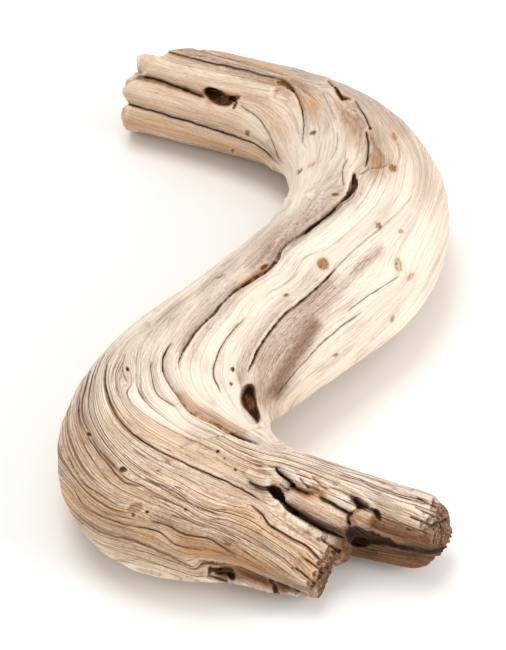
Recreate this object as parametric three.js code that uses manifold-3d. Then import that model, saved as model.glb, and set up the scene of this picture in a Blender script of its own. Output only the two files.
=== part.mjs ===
// A piece of driftwood: one weathered branch that lies flat in an S, split at its upper end and forked,
// with broken limbs, at its lower end.
// Millimetres, +Z up. The branch rests on Z = 0, X is across the S and Y runs along its length.
import * as THREE from "three";
import { mergeVertices } from "three/addons/utils/BufferGeometryUtils.js";
import Module from "manifold-3d";

const wasm = await Module();
wasm.setup();

// Driving dimensions
const TRUNK_SIDES = 30; // facets round the branch
const LIMB_SIDES = 16; // facets round a limb of the fork
const RING_SPACING = 9; // along the branch
const REST_LEVEL = 1; // worn off the underside where the wood lies on the floor
const WOOD_COLOUR = 0xd9c3a5;

// Places along the pith. wide is the size across, level with the floor, and tall is the size square to it.
// The trunk runs from the split upper end, round both bends, to the front limb of the fork.
const TRUNK = [
  { x: -79, y: 216, z: 24, wide: 48, tall: 46 },
  { x: -62, y: 214, z: 26, wide: 54, tall: 50 },
  { x: -35, y: 208, z: 28, wide: 63, tall: 57 },
  { x: -2, y: 195, z: 29, wide: 65, tall: 57 },
  { x: 23, y: 180, z: 32, wide: 66, tall: 60 },
  { x: 42, y: 162, z: 35, wide: 71, tall: 65 },
  { x: 57, y: 136, z: 38, wide: 81, tall: 72 },
  { x: 65, y: 104, z: 39, wide: 92, tall: 77 },
  { x: 62, y: 70, z: 40, wide: 100, tall: 80 },
  { x: 50, y: 40, z: 42, wide: 102, tall: 82 },
  { x: 25, y: 8, z: 44, wide: 95, tall: 80 },
  { x: -3, y: -20, z: 43, wide: 93, tall: 78 },
  { x: -30, y: -44, z: 41, wide: 90, tall: 78 },
  { x: -50, y: -66, z: 38, wide: 86, tall: 77 },
  { x: -60, y: -88, z: 37, wide: 82, tall: 75 },
  { x: -58, y: -108, z: 35, wide: 83, tall: 72 },
  { x: -47, y: -122, z: 32, wide: 83, tall: 68 },
  { x: -27, y: -129, z: 30, wide: 79, tall: 63 },
  { x: -3, y: -136, z: 25, wide: 66, tall: 51 },
  { x: 19, y: -146, z: 18, wide: 48, tall: 36 },
  { x: 39, y: -153, z: 15, wide: 36, tall: 28 },
];

// The inner strand leaves the trunk above the lower bend and becomes the rear limb of the fork.
const INNER_STRAND = [
  { x: 10, y: -15, z: 36, wide: 36, tall: 44 },
  { x: -8, y: -42, z: 37, wide: 46, tall: 50 },
  { x: -19, y: -68, z: 37, wide: 56, tall: 52 },
  { x: -16, y: -95, z: 35, wide: 58, tall: 54 },
  { x: 6, y: -113, z: 32, wide: 50, tall: 48 },
  { x: 33, y: -121, z: 31, wide: 41, tall: 40 },
  { x: 64, y: -130, z: 30, wide: 36, tall: 33 },
  { x: 92, y: -138, z: 29, wide: 33, tall: 30 },
  { x: 98, y: -140, z: 29, wide: 27, tall: 24 },
];

// The rear limb's underside is a second, smaller rod.
const REAR_LOWER_LIMB = [
  { x: 0, y: -115, z: 18, wide: 34, tall: 26 },
  { x: 45, y: -126, z: 14, wide: 30, tall: 20 },
  { x: 89, y: -139, z: 12, wide: 27, tall: 18 },
  { x: 95, y: -141, z: 12, wide: 19, tall: 12 },
];

// The middle strand fills the crotch and ends as a slab, broken off short between the two limbs.
const MIDDLE_STRAND = [
  { x: -45, y: -78, z: 38, wide: 40, tall: 44 },
  { x: -30, y: -102, z: 39, wide: 52, tall: 51 },
  { x: -5, y: -119, z: 36, wide: 46, tall: 44 },
  { x: 20, y: -129, z: 33, wide: 31, tall: 32 },
  { x: 48, y: -139, z: 30, wide: 22, tall: 22 },
];

// Stubs of small limbs that snapped off beside the slab
const UPPER_STUB = [
  { x: 38, y: -128, z: 36, wide: 14, tall: 12 },
  { x: 61, y: -138, z: 36, wide: 11, tall: 10 },
];
const LOWER_STUB = [
  { x: 26, y: -142, z: 20, wide: 16, tall: 14 },
  { x: 49, y: -148, z: 18, wide: 11, tall: 10 },
];

// Splits along the grain, as upright blades that narrow to nothing
const UPPER_END_SPLIT = [
  { x: -92, y: 205, z: 46, wide: 5, tall: 26 },
  { x: -60, y: 200, z: 47, wide: 4, tall: 22 },
  { x: -31, y: 183, z: 47, wide: 1.5, tall: 10 },
];
const LONG_SPLIT = [
  { x: 57, y: 76, z: 81, wide: 2, tall: 8 },
  { x: 54, y: 56, z: 82, wide: 5, tall: 18 },
  { x: 47, y: 46, z: 83, wide: 3.5, tall: 16 },
  { x: 34, y: 28, z: 84, wide: 3.5, tall: 15 },
  { x: 12, y: 0, z: 84, wide: 3, tall: 13 },
  { x: -4, y: -17, z: 83, wide: 2.5, tall: 11 },
  { x: -22, y: -40, z: 81, wide: 2, tall: 9 },
  { x: -36, y: -61, z: 79, wide: 1, tall: 4 },
];
const FORK_SPLIT = [
  { x: 6, y: -131, z: 47, wide: 3, tall: 12 },
  { x: 20, y: -138, z: 42, wide: 5, tall: 24 },
  { x: 46, y: -150, z: 34, wide: 6, tall: 34 },
  { x: 62, y: -156, z: 28, wide: 7, tall: 40 },
];

// Hollows: where their middles are, their sizes, and their turns about the length of the hollow and about Z
const KNOT_HOLE = { at: [-20, 181, 50], size: [26, 13, 16], tilt: 35, turn: -21 };
const BEND_PIT = { at: [-1, -80, 57], size: [24, 11, 14], tilt: 30, turn: 95 };
const FOOT_HOLLOW = { at: [-16, -167, 21], size: [17, 12, 10], tilt: 0, turn: 0 };

// Ends of the wood that broke back further than the rest: the corner blocks that are missing
const UPPER_STEP = { at: [-86, 233, 61], size: [30, 60, 60], tilt: 45, turn: 8 };
const BACK_STEP = { at: [-78, 253, 62], size: [52, 60, 60], tilt: 45, turn: -6 };

// A closed mesh as a solid, turned right side out if its faces point in
function solidOf(geometry) {
  const bare = geometry.clone();
  bare.deleteAttribute("normal");
  bare.deleteAttribute("uv");
  const merged = mergeVertices(bare, 1e-3);
  const triVerts = new Uint32Array(merged.index.array);
  const vertProperties = new Float32Array(merged.attributes.position.array);
  const made = new wasm.Manifold(new wasm.Mesh({ numProp: 3, vertProperties, triVerts }));
  if (made.volume() > 0) return made;
  triVerts.reverse();
  return new wasm.Manifold(new wasm.Mesh({ numProp: 3, vertProperties, triVerts }));
}

// A solid as geometry for a mesh
function geometryOf(solid) {
  const { numProp, numVert, vertProperties, triVerts } = solid.getMesh();
  const position = new Float32Array(numVert * 3);
  for (let i = 0; i < numVert; i++) {
    position.set(vertProperties.subarray(i * numProp, i * numProp + 3), i * 3);
  }
  const geometry = new THREE.BufferGeometry();
  geometry.setAttribute("position", new THREE.BufferAttribute(position, 3));
  geometry.setIndex(new THREE.BufferAttribute(triVerts, 1));
  geometry.computeVertexNormals();
  return geometry;
}

// One length of branch: a cylinder whose rings are carried along the pith and sized at each place
function limb(places, sides) {
  const pith = new THREE.CatmullRomCurve3(places.map((p) => new THREE.Vector3(p.x, p.y, p.z)));
  const girth = new THREE.CatmullRomCurve3(places.map((p) => new THREE.Vector3(p.wide, p.tall, 0)));
  const rings = Math.round(pith.getLength() / RING_SPACING);
  const cylinder = new THREE.CylinderGeometry(1, 1, 1, sides, rings);
  const position = cylinder.attributes.position;
  const vertical = new THREE.Vector3(0, 0, 1);
  for (let i = 0; i < position.count; i++) {
    const t = position.getY(i) + 0.5;
    const size = girth.getPoint(t);
    const along = pith.getTangent(t);
    const across = new THREE.Vector3().crossVectors(along, vertical).normalize();
    const upward = new THREE.Vector3().crossVectors(across, along);
    const place = pith.getPoint(t);
    place.addScaledVector(across, (position.getX(i) * size.x) / 2);
    place.addScaledVector(upward, (position.getZ(i) * size.y) / 2);
    position.setXYZ(i, place.x, place.y, place.z);
  }
  return solidOf(cylinder);
}

// A rounded hollow to be taken out of the surface
function hollow({ at, size, tilt, turn }) {
  const ball = new THREE.SphereGeometry(0.5, 14, 10);
  ball.scale(...size);
  ball.rotateX(THREE.MathUtils.degToRad(tilt));
  ball.rotateZ(THREE.MathUtils.degToRad(turn));
  ball.translate(...at);
  return solidOf(ball);
}

// A missing block at a broken end
function missing({ at, size, tilt, turn }) {
  const box = new THREE.BoxGeometry(...size);
  box.rotateX(THREE.MathUtils.degToRad(tilt));
  box.rotateZ(THREE.MathUtils.degToRad(turn));
  box.translate(...at);
  return solidOf(box);
}

const floor = new THREE.BoxGeometry(600, 600, 100);
floor.translate(0, 0, REST_LEVEL - 50);

const limbs = [INNER_STRAND, MIDDLE_STRAND, REAR_LOWER_LIMB, UPPER_STUB, LOWER_STUB]
  .map((places) => limb(places, LIMB_SIDES));
const cuts = [
  ...[UPPER_END_SPLIT, LONG_SPLIT, FORK_SPLIT].map((places) => limb(places, 8)),
  ...[KNOT_HOLE, BEND_PIT, FOOT_HOLLOW].map(hollow),
  ...[UPPER_STEP, BACK_STEP].map(missing),
  solidOf(floor),
];
const whole = limbs.reduce((joined, piece) => joined.add(piece), limb(TRUNK, TRUNK_SIDES));
const branch = cuts.reduce((left, cut) => left.subtract(cut), whole);

// The frame's origin is under the middle of the wood, on the floor
const surface = geometryOf(branch);
surface.computeBoundingBox();
const middle = surface.boundingBox.getCenter(new THREE.Vector3());
surface.translate(-middle.x, -middle.y, -surface.boundingBox.min.z);

const material = new THREE.MeshStandardMaterial({ color: WOOD_COLOUR, roughness: 0.85, metalness: 0 });
const driftwood = new THREE.Mesh(surface, material);
driftwood.name = "driftwood";

const part = new THREE.Group();
part.add(driftwood);

export default part;
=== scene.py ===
import math
from typing import NamedTuple

import bpy
import numpy as np
from bpy.props import FloatProperty, FloatVectorProperty, IntProperty, PointerProperty
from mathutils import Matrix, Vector
from mathutils.bvhtree import BVHTree


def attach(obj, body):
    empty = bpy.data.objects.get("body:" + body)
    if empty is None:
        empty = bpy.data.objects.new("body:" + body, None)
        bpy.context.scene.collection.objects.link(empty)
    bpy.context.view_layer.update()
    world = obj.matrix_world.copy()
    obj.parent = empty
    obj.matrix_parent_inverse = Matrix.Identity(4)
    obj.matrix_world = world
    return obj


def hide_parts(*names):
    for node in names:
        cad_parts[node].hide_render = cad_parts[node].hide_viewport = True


bl_info = {
    "name": "Driftwood Branch",
    "version": (1, 0, 0),
    "blender": (4, 5, 0),
    "location": "View3D > Sidebar > Driftwood",
    "description": "A weathered driftwood branch around its packed solid, on a plain studio stage",
    "category": "Add Mesh",
}

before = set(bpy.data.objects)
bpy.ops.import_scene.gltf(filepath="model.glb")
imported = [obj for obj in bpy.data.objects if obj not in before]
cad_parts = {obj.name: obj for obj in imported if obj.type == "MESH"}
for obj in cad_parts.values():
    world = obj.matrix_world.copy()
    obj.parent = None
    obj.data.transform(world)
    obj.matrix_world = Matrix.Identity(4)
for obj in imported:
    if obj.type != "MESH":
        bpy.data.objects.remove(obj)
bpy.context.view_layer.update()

MM = 0.001
PHOTO_WIDE, PHOTO_HIGH = 506, 650
PIXEL = 0.55  # millimetres on the wood for each pixel of the photograph
SENSOR = 36  # the camera's, in millimetres
RIGHT = Vector((1, 0, 0))  # the camera's right

STEP = 3.0  # between the points of a pith, in millimetres, or of a line in the photograph, in pixels
STRAND_STEP = 6.0  # between the points of a strand, in pixels
LIMB_APART = 1000  # added along the pith for each limb, so that no two limbs share a place
ROUND = 40  # millimetres round the wood for each radian about its pith
TINY = 1e-9  # keeps a division from having nothing to divide by
CELL = 2  # pixels across each cell of the fibre map
EASING_REACHES = (40, 28, 20, 14, 10, 7, 5, 3, 2, 1, 1, 1)  # cells, coarse to fine
EASING_ROUNDS, LAST_ROUNDS = 30, 6
HOLE_MARGIN = 8  # pixels looked at round a hole
WIDE_CRACK = 3  # millimetres: wider cracks are cut with the large shapes
DEEP_MARK = 1.5  # millimetres: deeper knots and holes are cut with the large shapes
DARK_CRACK = 0.84  # shade above which a crack counts as dark, and below it as faint
NONE_NEAR = 9.0  # millimetres, kept where no crack or knot is near
LAYER_FIBRES = 4.6  # fibres in each weathered layer
LAYER_EDGE = 0.88  # how far through a layer it rises before it falls to the next
NEAR_ROUNDS, FAR_ROUNDS = 10, 60  # of easing, for the wood close by and further round a point

# Places wander by so many pixels over so many, so that no line is ruled
WOBBLE, WOBBLE_LENGTH, WOBBLE_SEEDS = 0.6, 9, (11, 12)
SWAY_SEED = 60  # for the changing width of a crack
HIDDEN_SEED = 50  # added to a pattern's seed on the sides that the photograph doesn't show
HIDDEN_CRACK_SEED, HIDDEN_KNOT_SEED = 7, 19

# Odd numbers that scatter a cell's place into a random one, and the count of 32-bit numbers
SCATTER = (374761393, 668265263, 2246822519, 3266489917)
WORD = 2 ** 32

# Carved patterns that run with the grain: a fibre's length and breadth in millimetres, seed
PATTERNS = {
    "broad flutes": (110, 15, 1), "flutes": (70, 7, 2), "ridges": (70, 4.0, 3), "furrows": (45, 2.0, 4),
    "lumps": (15, 7, 5), "small lumps": (7, 4, 6), "end fibres": (900, 4.6, 21),
    "fine end fibres": (900, 2.2, 22), "finest end fibres": (900, 1.5, 23), "layer sway": (120, 15, 31),
    "layer turns": (45, 6, 32), "layer nicks": (12, 3, 33), "layer patches": (70, 9, 34),
}

# Coloured patterns that run with the grain: a fibre's length and breadth in millimetres, detail, roughness
STREAKS = {
    "broad": (110, 13, 2.0, 0.5), "streaks": (80, 3.2, 3.0, 0.55), "fine": (22, 0.7, 2.0, 0.6),
    "grit": (2.2, 0.75, 2.0, 0.65), "blotch": (22, 7.0, 3.0, 0.6), "hairs": (70, 2.4, 1.0, 0.5),
    "specks": (4, 1.6, 2.0, 0.5), "dots": (2.6, 0.6, 2.0, 0.5),
}

# The pith of each limb, in millimetres from the frame's origin: x, y, z, size across, size square to that.
TRUNK = [
    (-85, 181, 23, 48, 46), (-68, 179, 25, 54, 50), (-41, 173, 27, 63, 57), (-8, 160, 28, 65, 57),
    (17, 145, 31, 66, 60), (36, 127, 34, 71, 65), (51, 101, 37, 81, 72), (59, 69, 38, 92, 77),
    (56, 35, 39, 100, 80), (44, 5, 41, 102, 82), (19, -27, 43, 95, 80), (-9, -55, 42, 93, 78),
    (-36, -79, 40, 90, 78), (-56, -101, 37, 86, 77), (-66, -123, 36, 82, 75), (-64, -143, 34, 83, 72),
    (-53, -157, 31, 83, 68), (-33, -164, 29, 79, 63), (-9, -171, 24, 66, 51), (13, -181, 17, 48, 36),
    (33, -188, 14, 36, 28),
]
INNER_STRAND = [
    (4, -50, 35, 36, 44), (-14, -77, 36, 46, 50), (-25, -103, 36, 56, 52), (-22, -130, 34, 58, 54),
    (0, -148, 31, 50, 48), (27, -156, 30, 41, 40), (58, -165, 29, 36, 33), (86, -173, 28, 33, 30),
    (92, -175, 28, 27, 24),
]
MIDDLE_STRAND = [
    (-51, -113, 37, 40, 44), (-36, -137, 38, 52, 51), (-11, -154, 35, 46, 44), (14, -164, 32, 31, 32),
    (42, -174, 29, 22, 22),
]
REAR_LOWER_LIMB = [
    (-6, -150, 17, 34, 26), (39, -161, 13, 30, 20), (83, -174, 11, 27, 18), (89, -176, 11, 19, 12),
]
UPPER_STUB = [(32, -163, 35, 14, 12), (55, -173, 35, 11, 10)]
LOWER_STUB = [(20, -177, 19, 16, 14), (43, -183, 17, 11, 10)]
LIMBS = [TRUNK, INNER_STRAND, MIDDLE_STRAND, REAR_LOWER_LIMB, UPPER_STUB, LOWER_STUB]
HIDDEN_SHARES = {0: 0.8, 1: 0.12, 3: 0.08}  # of the hidden cracks, by the limb's place in the list

# Where each limb broke off: how far its fibres stand out or stop short, how far its top broke back, or its
# underside if negative, in millimetres, and how brown it is there
TORN_ENDS = [
    (1.8, 3.0, 1.0), (1.6, 5.0, 1.0), (0.0, 0.0, 0.4), (1.2, -7.0, 0.9), (0.0, 0.0, 0.5), (0.0, 0.0, 0.9),
]
UPPER_END = (0.5, 2.6, 0.1)


class Crack(NamedTuple):
    """A crack along the grain, or a break across it.

    line is its path in the photograph's pixels, and fibre the number of the fibre it follows, which a break
    across the grain doesn't have. width and depth are the opening's, left and right are how far the wood
    beside it falls and within what distance, all in millimetres. shade is how dark it is painted, as
    painted shade inside it and beside it, and fade how much of the fall is lost by its end.
    """

    line: list
    fibre: float = None
    width: float = 0.7
    depth: float = 1.0
    left: tuple = (0.3, 3.0)
    right: tuple = (0.3, 3.0)
    shade: float = 0.75
    fade: float = 0.0


CRACKS = {
    "upper end split": Crack(
        [(141, 76), (155, 79), (170, 84), (190, 92), (206, 98)],
        69, 1.5, 4.0, (3.0, 4.0), (3.0, 4.0), 0.85),
    "lower end split": Crack(
        [(114, 100), (150, 110), (200, 125), (245, 140), (265, 150), (280, 167)],
        47, 1.2, 3.0, (2.4, 4.0), (2.4, 4.0), 0.8),
    "knot hole tail": Crack(
        [(238, 104), (250, 112), (262, 122), (270, 137), (281, 165)],
        69, 0.8, 1.2, (0.4, 4.0), (0.8, 5.0), 0.8),
    "back split": Crack(
        [(160, 49), (190, 58), (230, 67), (270, 77), (284, 80)], 90, 1.2, 2.6, (1.2, 4.0), (2.2, 6.0), 0.6),
    "back edge split": Crack(
        [(193, 48), (220, 56), (260, 68), (292, 77)], 93, 0.9, 1.6, (0.8, 4.0), (0.8, 4.0), 0.45),
    "scar tail": Crack(
        [(287, 82), (294, 91), (301, 106), (304, 122), (302, 144)],
        80, 1.1, 2.0, (2.6, 7.0), (0.2, 3.0), 0.9),
    "pit tail": Crack(
        [(328, 80), (334, 86), (339, 94), (343, 100)], 92, 1.8, 3.0, (1.0, 4.0), (1.8, 5.0), 0.9),
    "shoulder crack": Crack(
        [(355, 100), (360, 109), (365, 117), (370, 128)], 92, 1.2, 1.8, (0.4, 3.0), (1.8, 6.0), 0.85),
    "neck crack": Crack(
        [(366, 131), (368, 141), (368, 155), (365, 168)], 92, 1.8, 3.5, (0.6, 4.0), (1.2, 5.0), 1.0),
    "neck side crack": Crack(
        [(348, 158), (345, 164), (342, 171), (344, 187)], 90, 1.0, 1.6, (0.6, 3.0), (0.6, 3.0), 0.85),
    "slot": Crack(
        [(354, 172), (353, 184), (350, 194), (343, 201)], 93, 0.8, 1.2, (0.6, 4.0), (2.2, 6.0), 0.6),
    "main crack": Crack(
        [(347, 198), (338, 206), (330, 215), (316, 225), (287, 245), (276, 261), (268, 270), (245, 285),
         (229, 297), (211, 317), (196, 332), (184, 350), (178, 363), (179, 370)],
        94, 1.5, 3.0, (0.6, 2.0), (5.5, 11.0), 0.9, 0.6),
    "second crack": Crack(
        [(417, 178), (407, 202), (386, 224), (354, 250), (333, 271), (324, 280)], 126, shade=0.7),
    "second crack, open": Crack(
        [(336, 268), (320, 284), (303, 299), (281, 318), (270, 331), (257, 352), (247, 373)],
        126, 1.3, 2.4, (3.6, 12.0), (0.6, 3.0), 0.95),
    "long fine crack": Crack(
        [(390, 176), (382, 195), (370, 211), (330, 247), (307, 257), (289, 280), (258, 300)],
        106, 0.6, 0.8, shade=0.6),
    "third crack": Crack([(401, 275), (379, 289), (359, 303), (346, 313)], 148, 0.9, 1.2, shade=0.8),
    "fourth crack": Crack(
        [(363, 311), (346, 323), (326, 339), (313, 352), (295, 372), (273, 399)],
        154, 0.9, 1.2, (0.6, 5.0), (0.8, 6.0), 0.8),
    "scar side line": Crack([(300, 125), (302, 142), (306, 148)], 79, 0.6, 0.9, shade=0.7),
    "upper fine crack": Crack(
        [(322, 92), (328, 103), (337, 122)], 89, 0.6, 0.9, (0.2, 3.0), (0.8, 4.0), 0.65),
    "top line": Crack([(337, 131), (337, 146), (330, 161)], 88, shade=0.6),
    "lobe long crack": Crack(
        [(116, 346), (106, 367), (106, 388), (112, 406), (125, 426), (144, 442), (165, 454), (197, 469),
         (231, 484), (260, 500), (268, 505)],
        52, 1.2, 1.8, (0.8, 4.0), (1.0, 5.0), 0.95),
    "bend ridge": Crack(
        [(172, 342), (164, 354), (163, 371), (170, 386), (180, 400), (192, 414), (211, 423), (237, 437),
         (260, 446)],
        82, 1.4, 1.8, (3.6, 6.0), (1.2, 5.0), 0.95),
    "lobe inner crack": Crack([(151, 360), (152, 378), (157, 394), (176, 408)], 74, 0.9, 1.4, shade=0.85),
    "bend crack": Crack(
        [(245, 317), (225, 340), (216, 359), (213, 374), (221, 394)],
        103, 0.9, 1.4, (0.5, 4.0), (0.7, 5.0), 0.85),
    "lobe outer crack": Crack(
        [(79, 394), (79, 416), (87, 435), (97, 451), (110, 467), (125, 482), (144, 487)],
        32, 0.9, 1.4, (0.5, 4.0), (0.9, 5.0), 0.85),
    "lobe fine crack": Crack([(152, 420), (184, 437), (217, 451)], 66, shade=0.7),
    "lobe line a": Crack([(125, 352), (123, 370), (128, 384)], 61, shade=0.6),
    "lobe line b": Crack([(136, 372), (137, 388), (144, 400)], 69, shade=0.6),
    "foot line a": Crack(
        [(66, 453), (81, 480), (96, 492), (120, 507)], 23, 0.9, 1.2, (0.4, 4.0), (0.7, 5.0), 0.8),
    "foot line b": Crack(
        [(73, 487), (85, 507), (110, 520), (137, 527), (157, 531), (176, 545), (201, 550)],
        14, 0.9, 1.3, (0.4, 4.0), (0.8, 5.0), 0.85),
    "foot line c": Crack(
        [(148, 519), (168, 526), (184, 534), (208, 538), (221, 546), (237, 557)],
        22, 0.9, 1.3, (0.4, 4.0), (0.7, 5.0), 0.85),
    "foot line d": Crack([(142, 491), (171, 503), (191, 511)], 32, shade=0.7),
    "foot line e": Crack(
        [(144, 479), (171, 490), (197, 507), (221, 516)], 38, 0.8, 1.2, (0.4, 4.0), (0.6, 4.0), 0.8),
    "foot line f": Crack(
        [(117, 534), (148, 546), (171, 557), (197, 569)], 5, 0.9, 1.2, (0.4, 4.0), (0.6, 4.0), 0.7),
    "fork split": Crack(
        [(281, 496), (284, 502), (289, 508), (295, 513), (303, 518), (312, 523), (322, 528), (332, 533),
         (345, 538)],
        50, 3.0, 5.0, (0.2, 2.0), (1.0, 3.0), 1.0),
    "front limb crack": Crack(
        [(248, 504), (263, 516), (268, 524), (279, 531), (292, 539), (307, 547), (323, 563)],
        44, 1.2, 2.0, (0.6, 3.0), (0.8, 5.0), 0.95),
    "rear limb crack": Crack(
        [(335, 473), (360, 481), (380, 490), (410, 500), (432, 506)], 82, 0.8, 1.2, shade=0.7),
    "flake edge": Crack(
        [(249, 480), (252, 484), (258, 486), (268, 487)], None, 0.9, 1.4, (0.0, 2.0), (1.6, 3.0), 0.9),
    "second flake edge": Crack(
        [(279, 484), (285, 488), (290, 489)], None, 0.9, 1.4, (0.0, 2.0), (1.4, 3.0), 0.9),
    "tooth gap a": Crack(
        [(276, 467), (280, 474), (284, 477), (289, 480), (296, 487)],
        None, 1.5, 2.2, (0.4, 2.0), (0.8, 3.0), 1.0),
    "tooth gap b": Crack(
        [(290, 485), (299, 490), (309, 494)], None, 1.3, 1.8, (0.0, 2.0), (1.4, 3.0), 0.95),
    "tooth gap c": Crack([(299, 478), (304, 484), (309, 489)], None, 1.1, 1.6, (0.4, 2.0), (0.6, 3.0), 0.9),
    "tooth gap d": Crack(
        [(311, 475), (316, 480), (322, 486), (328, 489)], None, 0.9, 1.4, (0.4, 2.0), (0.6, 3.0), 0.8),
    "plate edge": Crack(
        [(319, 496), (330, 502), (338, 507), (346, 511), (353, 515)],
        None, 1.1, 1.6, (0.0, 2.0), (1.8, 3.0), 0.95),
    "plate back": Crack([(326, 488), (338, 490), (350, 496)], None, 0.7, 1.0, (0.0, 2.0), (0.6, 3.0), 0.6),
    "limb notch a": Crack(
        [(322, 541), (331, 547), (340, 554)], None, 1.2, 2.2, (0.3, 2.0), (0.6, 3.0), 0.9),
    "limb notch b": Crack(
        [(304, 558), (313, 565), (323, 573)], None, 1.1, 2.0, (0.3, 2.0), (0.6, 3.0), 0.85),
    "limb notch c": Crack(
        [(294, 567), (304, 575), (315, 584)], None, 1.1, 2.0, (0.3, 2.0), (0.6, 3.0), 0.8),
    "rear notch a": Crack(
        [(416, 498), (427, 503), (437, 508)], None, 1.0, 1.8, (0.3, 2.0), (0.5, 3.0), 0.8),
    "rear notch b": Crack(
        [(414, 507), (425, 512), (435, 517)], None, 1.0, 1.8, (0.3, 2.0), (0.5, 3.0), 0.8),
    "rear notch c": Crack(
        [(410, 517), (421, 522), (432, 527)], None, 1.1, 2.0, (0.3, 2.0), (0.5, 3.0), 0.85),
    "rear limb step": Crack(
        [(406, 530), (414, 530), (422, 531), (428, 535)], None, 0.9, 1.4, (1.2, 3.0), (0.0, 2.0), 0.8),
    "rear end break": Crack(
        [(429, 526), (437, 523), (448, 519)], None, 1.1, 1.6, (0.4, 2.0), (0.8, 3.0), 0.85),
    "rear end fibre a": Crack(
        [(433, 522), (434, 533), (433, 545)], None, 0.9, 1.4, (0.4, 2.0), (0.4, 2.0), 0.8),
    "rear end fibre b": Crack([(440, 522), (442, 533), (440, 547)], None, 0.9, 1.4, (0.4, 2.0), (0.4, 2.0)),
    "neck ledge": Crack(
        [(352, 173), (362, 174), (372, 168), (383, 167), (392, 160)],
        None, 0.7, 0.8, (2.4, 6.0), (0.1, 2.0), 0.4),
    "neck plate edge": Crack(
        [(371, 130), (375, 146), (380, 152), (384, 160), (376, 168)],
        None, 0.6, 0.8, (0.0, 3.0), (1.8, 5.0), 0.3),
    "shoulder edge": Crack(
        [(396, 142), (400, 151), (400, 158), (395, 168)], 112, 0.6, 0.9, (0.2, 3.0), (1.2, 5.0), 0.6),
    "ledge edge": Crack(
        [(196, 560), (215, 563), (236, 566), (262, 577), (285, 586), (308, 595)],
        2, 0.9, 1.0, (0.2, 3.0), (3.4, 6.0), 0.8),
}

# Other lines of the grain, where there is no crack: pixel, pixel, fibre number
GRAIN_LINES = {
    "front edge": [
        (117, 112, 34), (131, 129, 28), (180, 142, 28), (230, 155, 30), (262, 165, 32), (285, 185, 44),
        (278, 202, 44), (248, 240, 41), (198, 285, 41), (148, 318, 41), (108, 350, 38), (83, 385, 31),
        (64, 425, 24), (56, 455, 19), (60, 480, 12), (78, 521, 2), (108, 557, -5), (150, 572, -8),
        (200, 582, -5), (240, 588, -3), (270, 594, 0)],
    "back edge": [
        (165, 46, 88), (195, 44, 97), (250, 55, 110), (310, 69, 122), (350, 85, 129), (390, 112, 134),
        (420, 142, 146), (442, 180, 165), (449, 215, 187), (447, 250, 198), (434, 286, 202),
        (412, 317, 202), (377, 347, 197), (342, 372, 192), (310, 387, 186), (285, 405, 178),
        (268, 422, 150)],
    "beyond the back edge": [
        (460, 190, 190), (467, 225, 212), (464, 262, 222), (447, 302, 226), (422, 334, 226),
        (386, 364, 221), (350, 390, 216), (318, 406, 210), (294, 424, 202), (277, 438, 176)],
    "beyond the front edge": [
        (275, 178, 30), (262, 205, 30), (232, 232, 27), (186, 271, 27), (136, 303, 27), (92, 338, 24),
        (66, 378, 17), (46, 422, 10), (38, 458, 4), (43, 488, -3), (64, 534, -13), (98, 572, -20)],
    "rear limb back": [(266, 430, 118), (300, 446, 100), (340, 462, 93), (400, 480, 91), (437, 492, 90)],
    "long crack, above": [
        (287, 190, 52), (265, 222, 52), (225, 258, 52), (180, 292, 52), (145, 318, 52), (116, 346, 52)],
    "long crack, below": [(268, 505, 52), (284, 514, 52), (300, 526, 52), (321, 538, 52), (341, 548, 52)],
    "bend ridge, above": [
        (300, 205, 82), (280, 225, 82), (250, 252, 82), (215, 288, 82), (190, 315, 82), (172, 342, 82)],
    "bend ridge, below": [(260, 446, 82), (300, 459, 82), (335, 473, 82)],
    "rear limb front": [(272, 470, 66), (320, 487, 66), (370, 508, 66), (405, 523, 66), (440, 540, 66)],
    "fine crack, above": [
        (288, 193, 66), (272, 222, 66), (232, 258, 66), (190, 290, 66), (150, 325, 66), (128, 355, 66),
        (121, 380, 66), (130, 402, 66), (152, 420, 66)],
    "inner crack, above": [
        (292, 198, 74), (275, 225, 74), (240, 256, 74), (200, 290, 74), (168, 328, 74), (151, 360, 74)],
    "main crack, below": [
        (179, 370, 94), (184, 384, 94), (198, 402, 94), (222, 417, 94), (250, 434, 94), (264, 443, 94)],
    "bend crack, below": [(221, 394, 103), (234, 411, 103), (250, 426, 103), (264, 437, 103)],
    "second crack, above": [
        (417, 178, 126), (416, 160, 126), (404, 138, 126), (384, 114, 126), (360, 95, 126), (340, 84, 126)],
    "fine line, above": [
        (390, 176, 106), (389, 158, 106), (385, 140, 106), (378, 122, 106), (366, 104, 106), (350, 92, 106),
        (330, 80, 106), (300, 73, 106), (262, 62, 106), (230, 55, 106)],
    "scar, above": [(132, 62, 82), (200, 78, 82), (250, 84, 82), (280, 84, 82)],
    "scar, below": [(302, 144, 78), (299, 170, 78), (296, 192, 78), (285, 215, 78)],
    "top line, above": [(300, 84, 88), (315, 92, 88), (330, 110, 88), (337, 131, 88)],
    "top line, below": [(330, 161, 88), (318, 185, 88), (300, 212, 88), (272, 240, 88)],
    "rear low top": [(350, 547, 54), (400, 556, 54), (446, 564, 54)],
    "rear low bottom": [(352, 562, 44), (400, 574, 44), (436, 582, 44)],
    "foot, front": [(221, 516, 36), (250, 530, 36), (285, 553, 36), (312, 582, 36)],
    "foot, low": [(237, 557, 22), (262, 570, 22), (300, 590, 22)],
}


class Strand(NamedTuple):
    """A bundle of fibres that lies proud of the wood.

    line is its path in the photograph's pixels, with its radius at each place, and proud how far it stands
    out, both in millimetres.
    """

    line: list
    proud: float = 0.8


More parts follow.
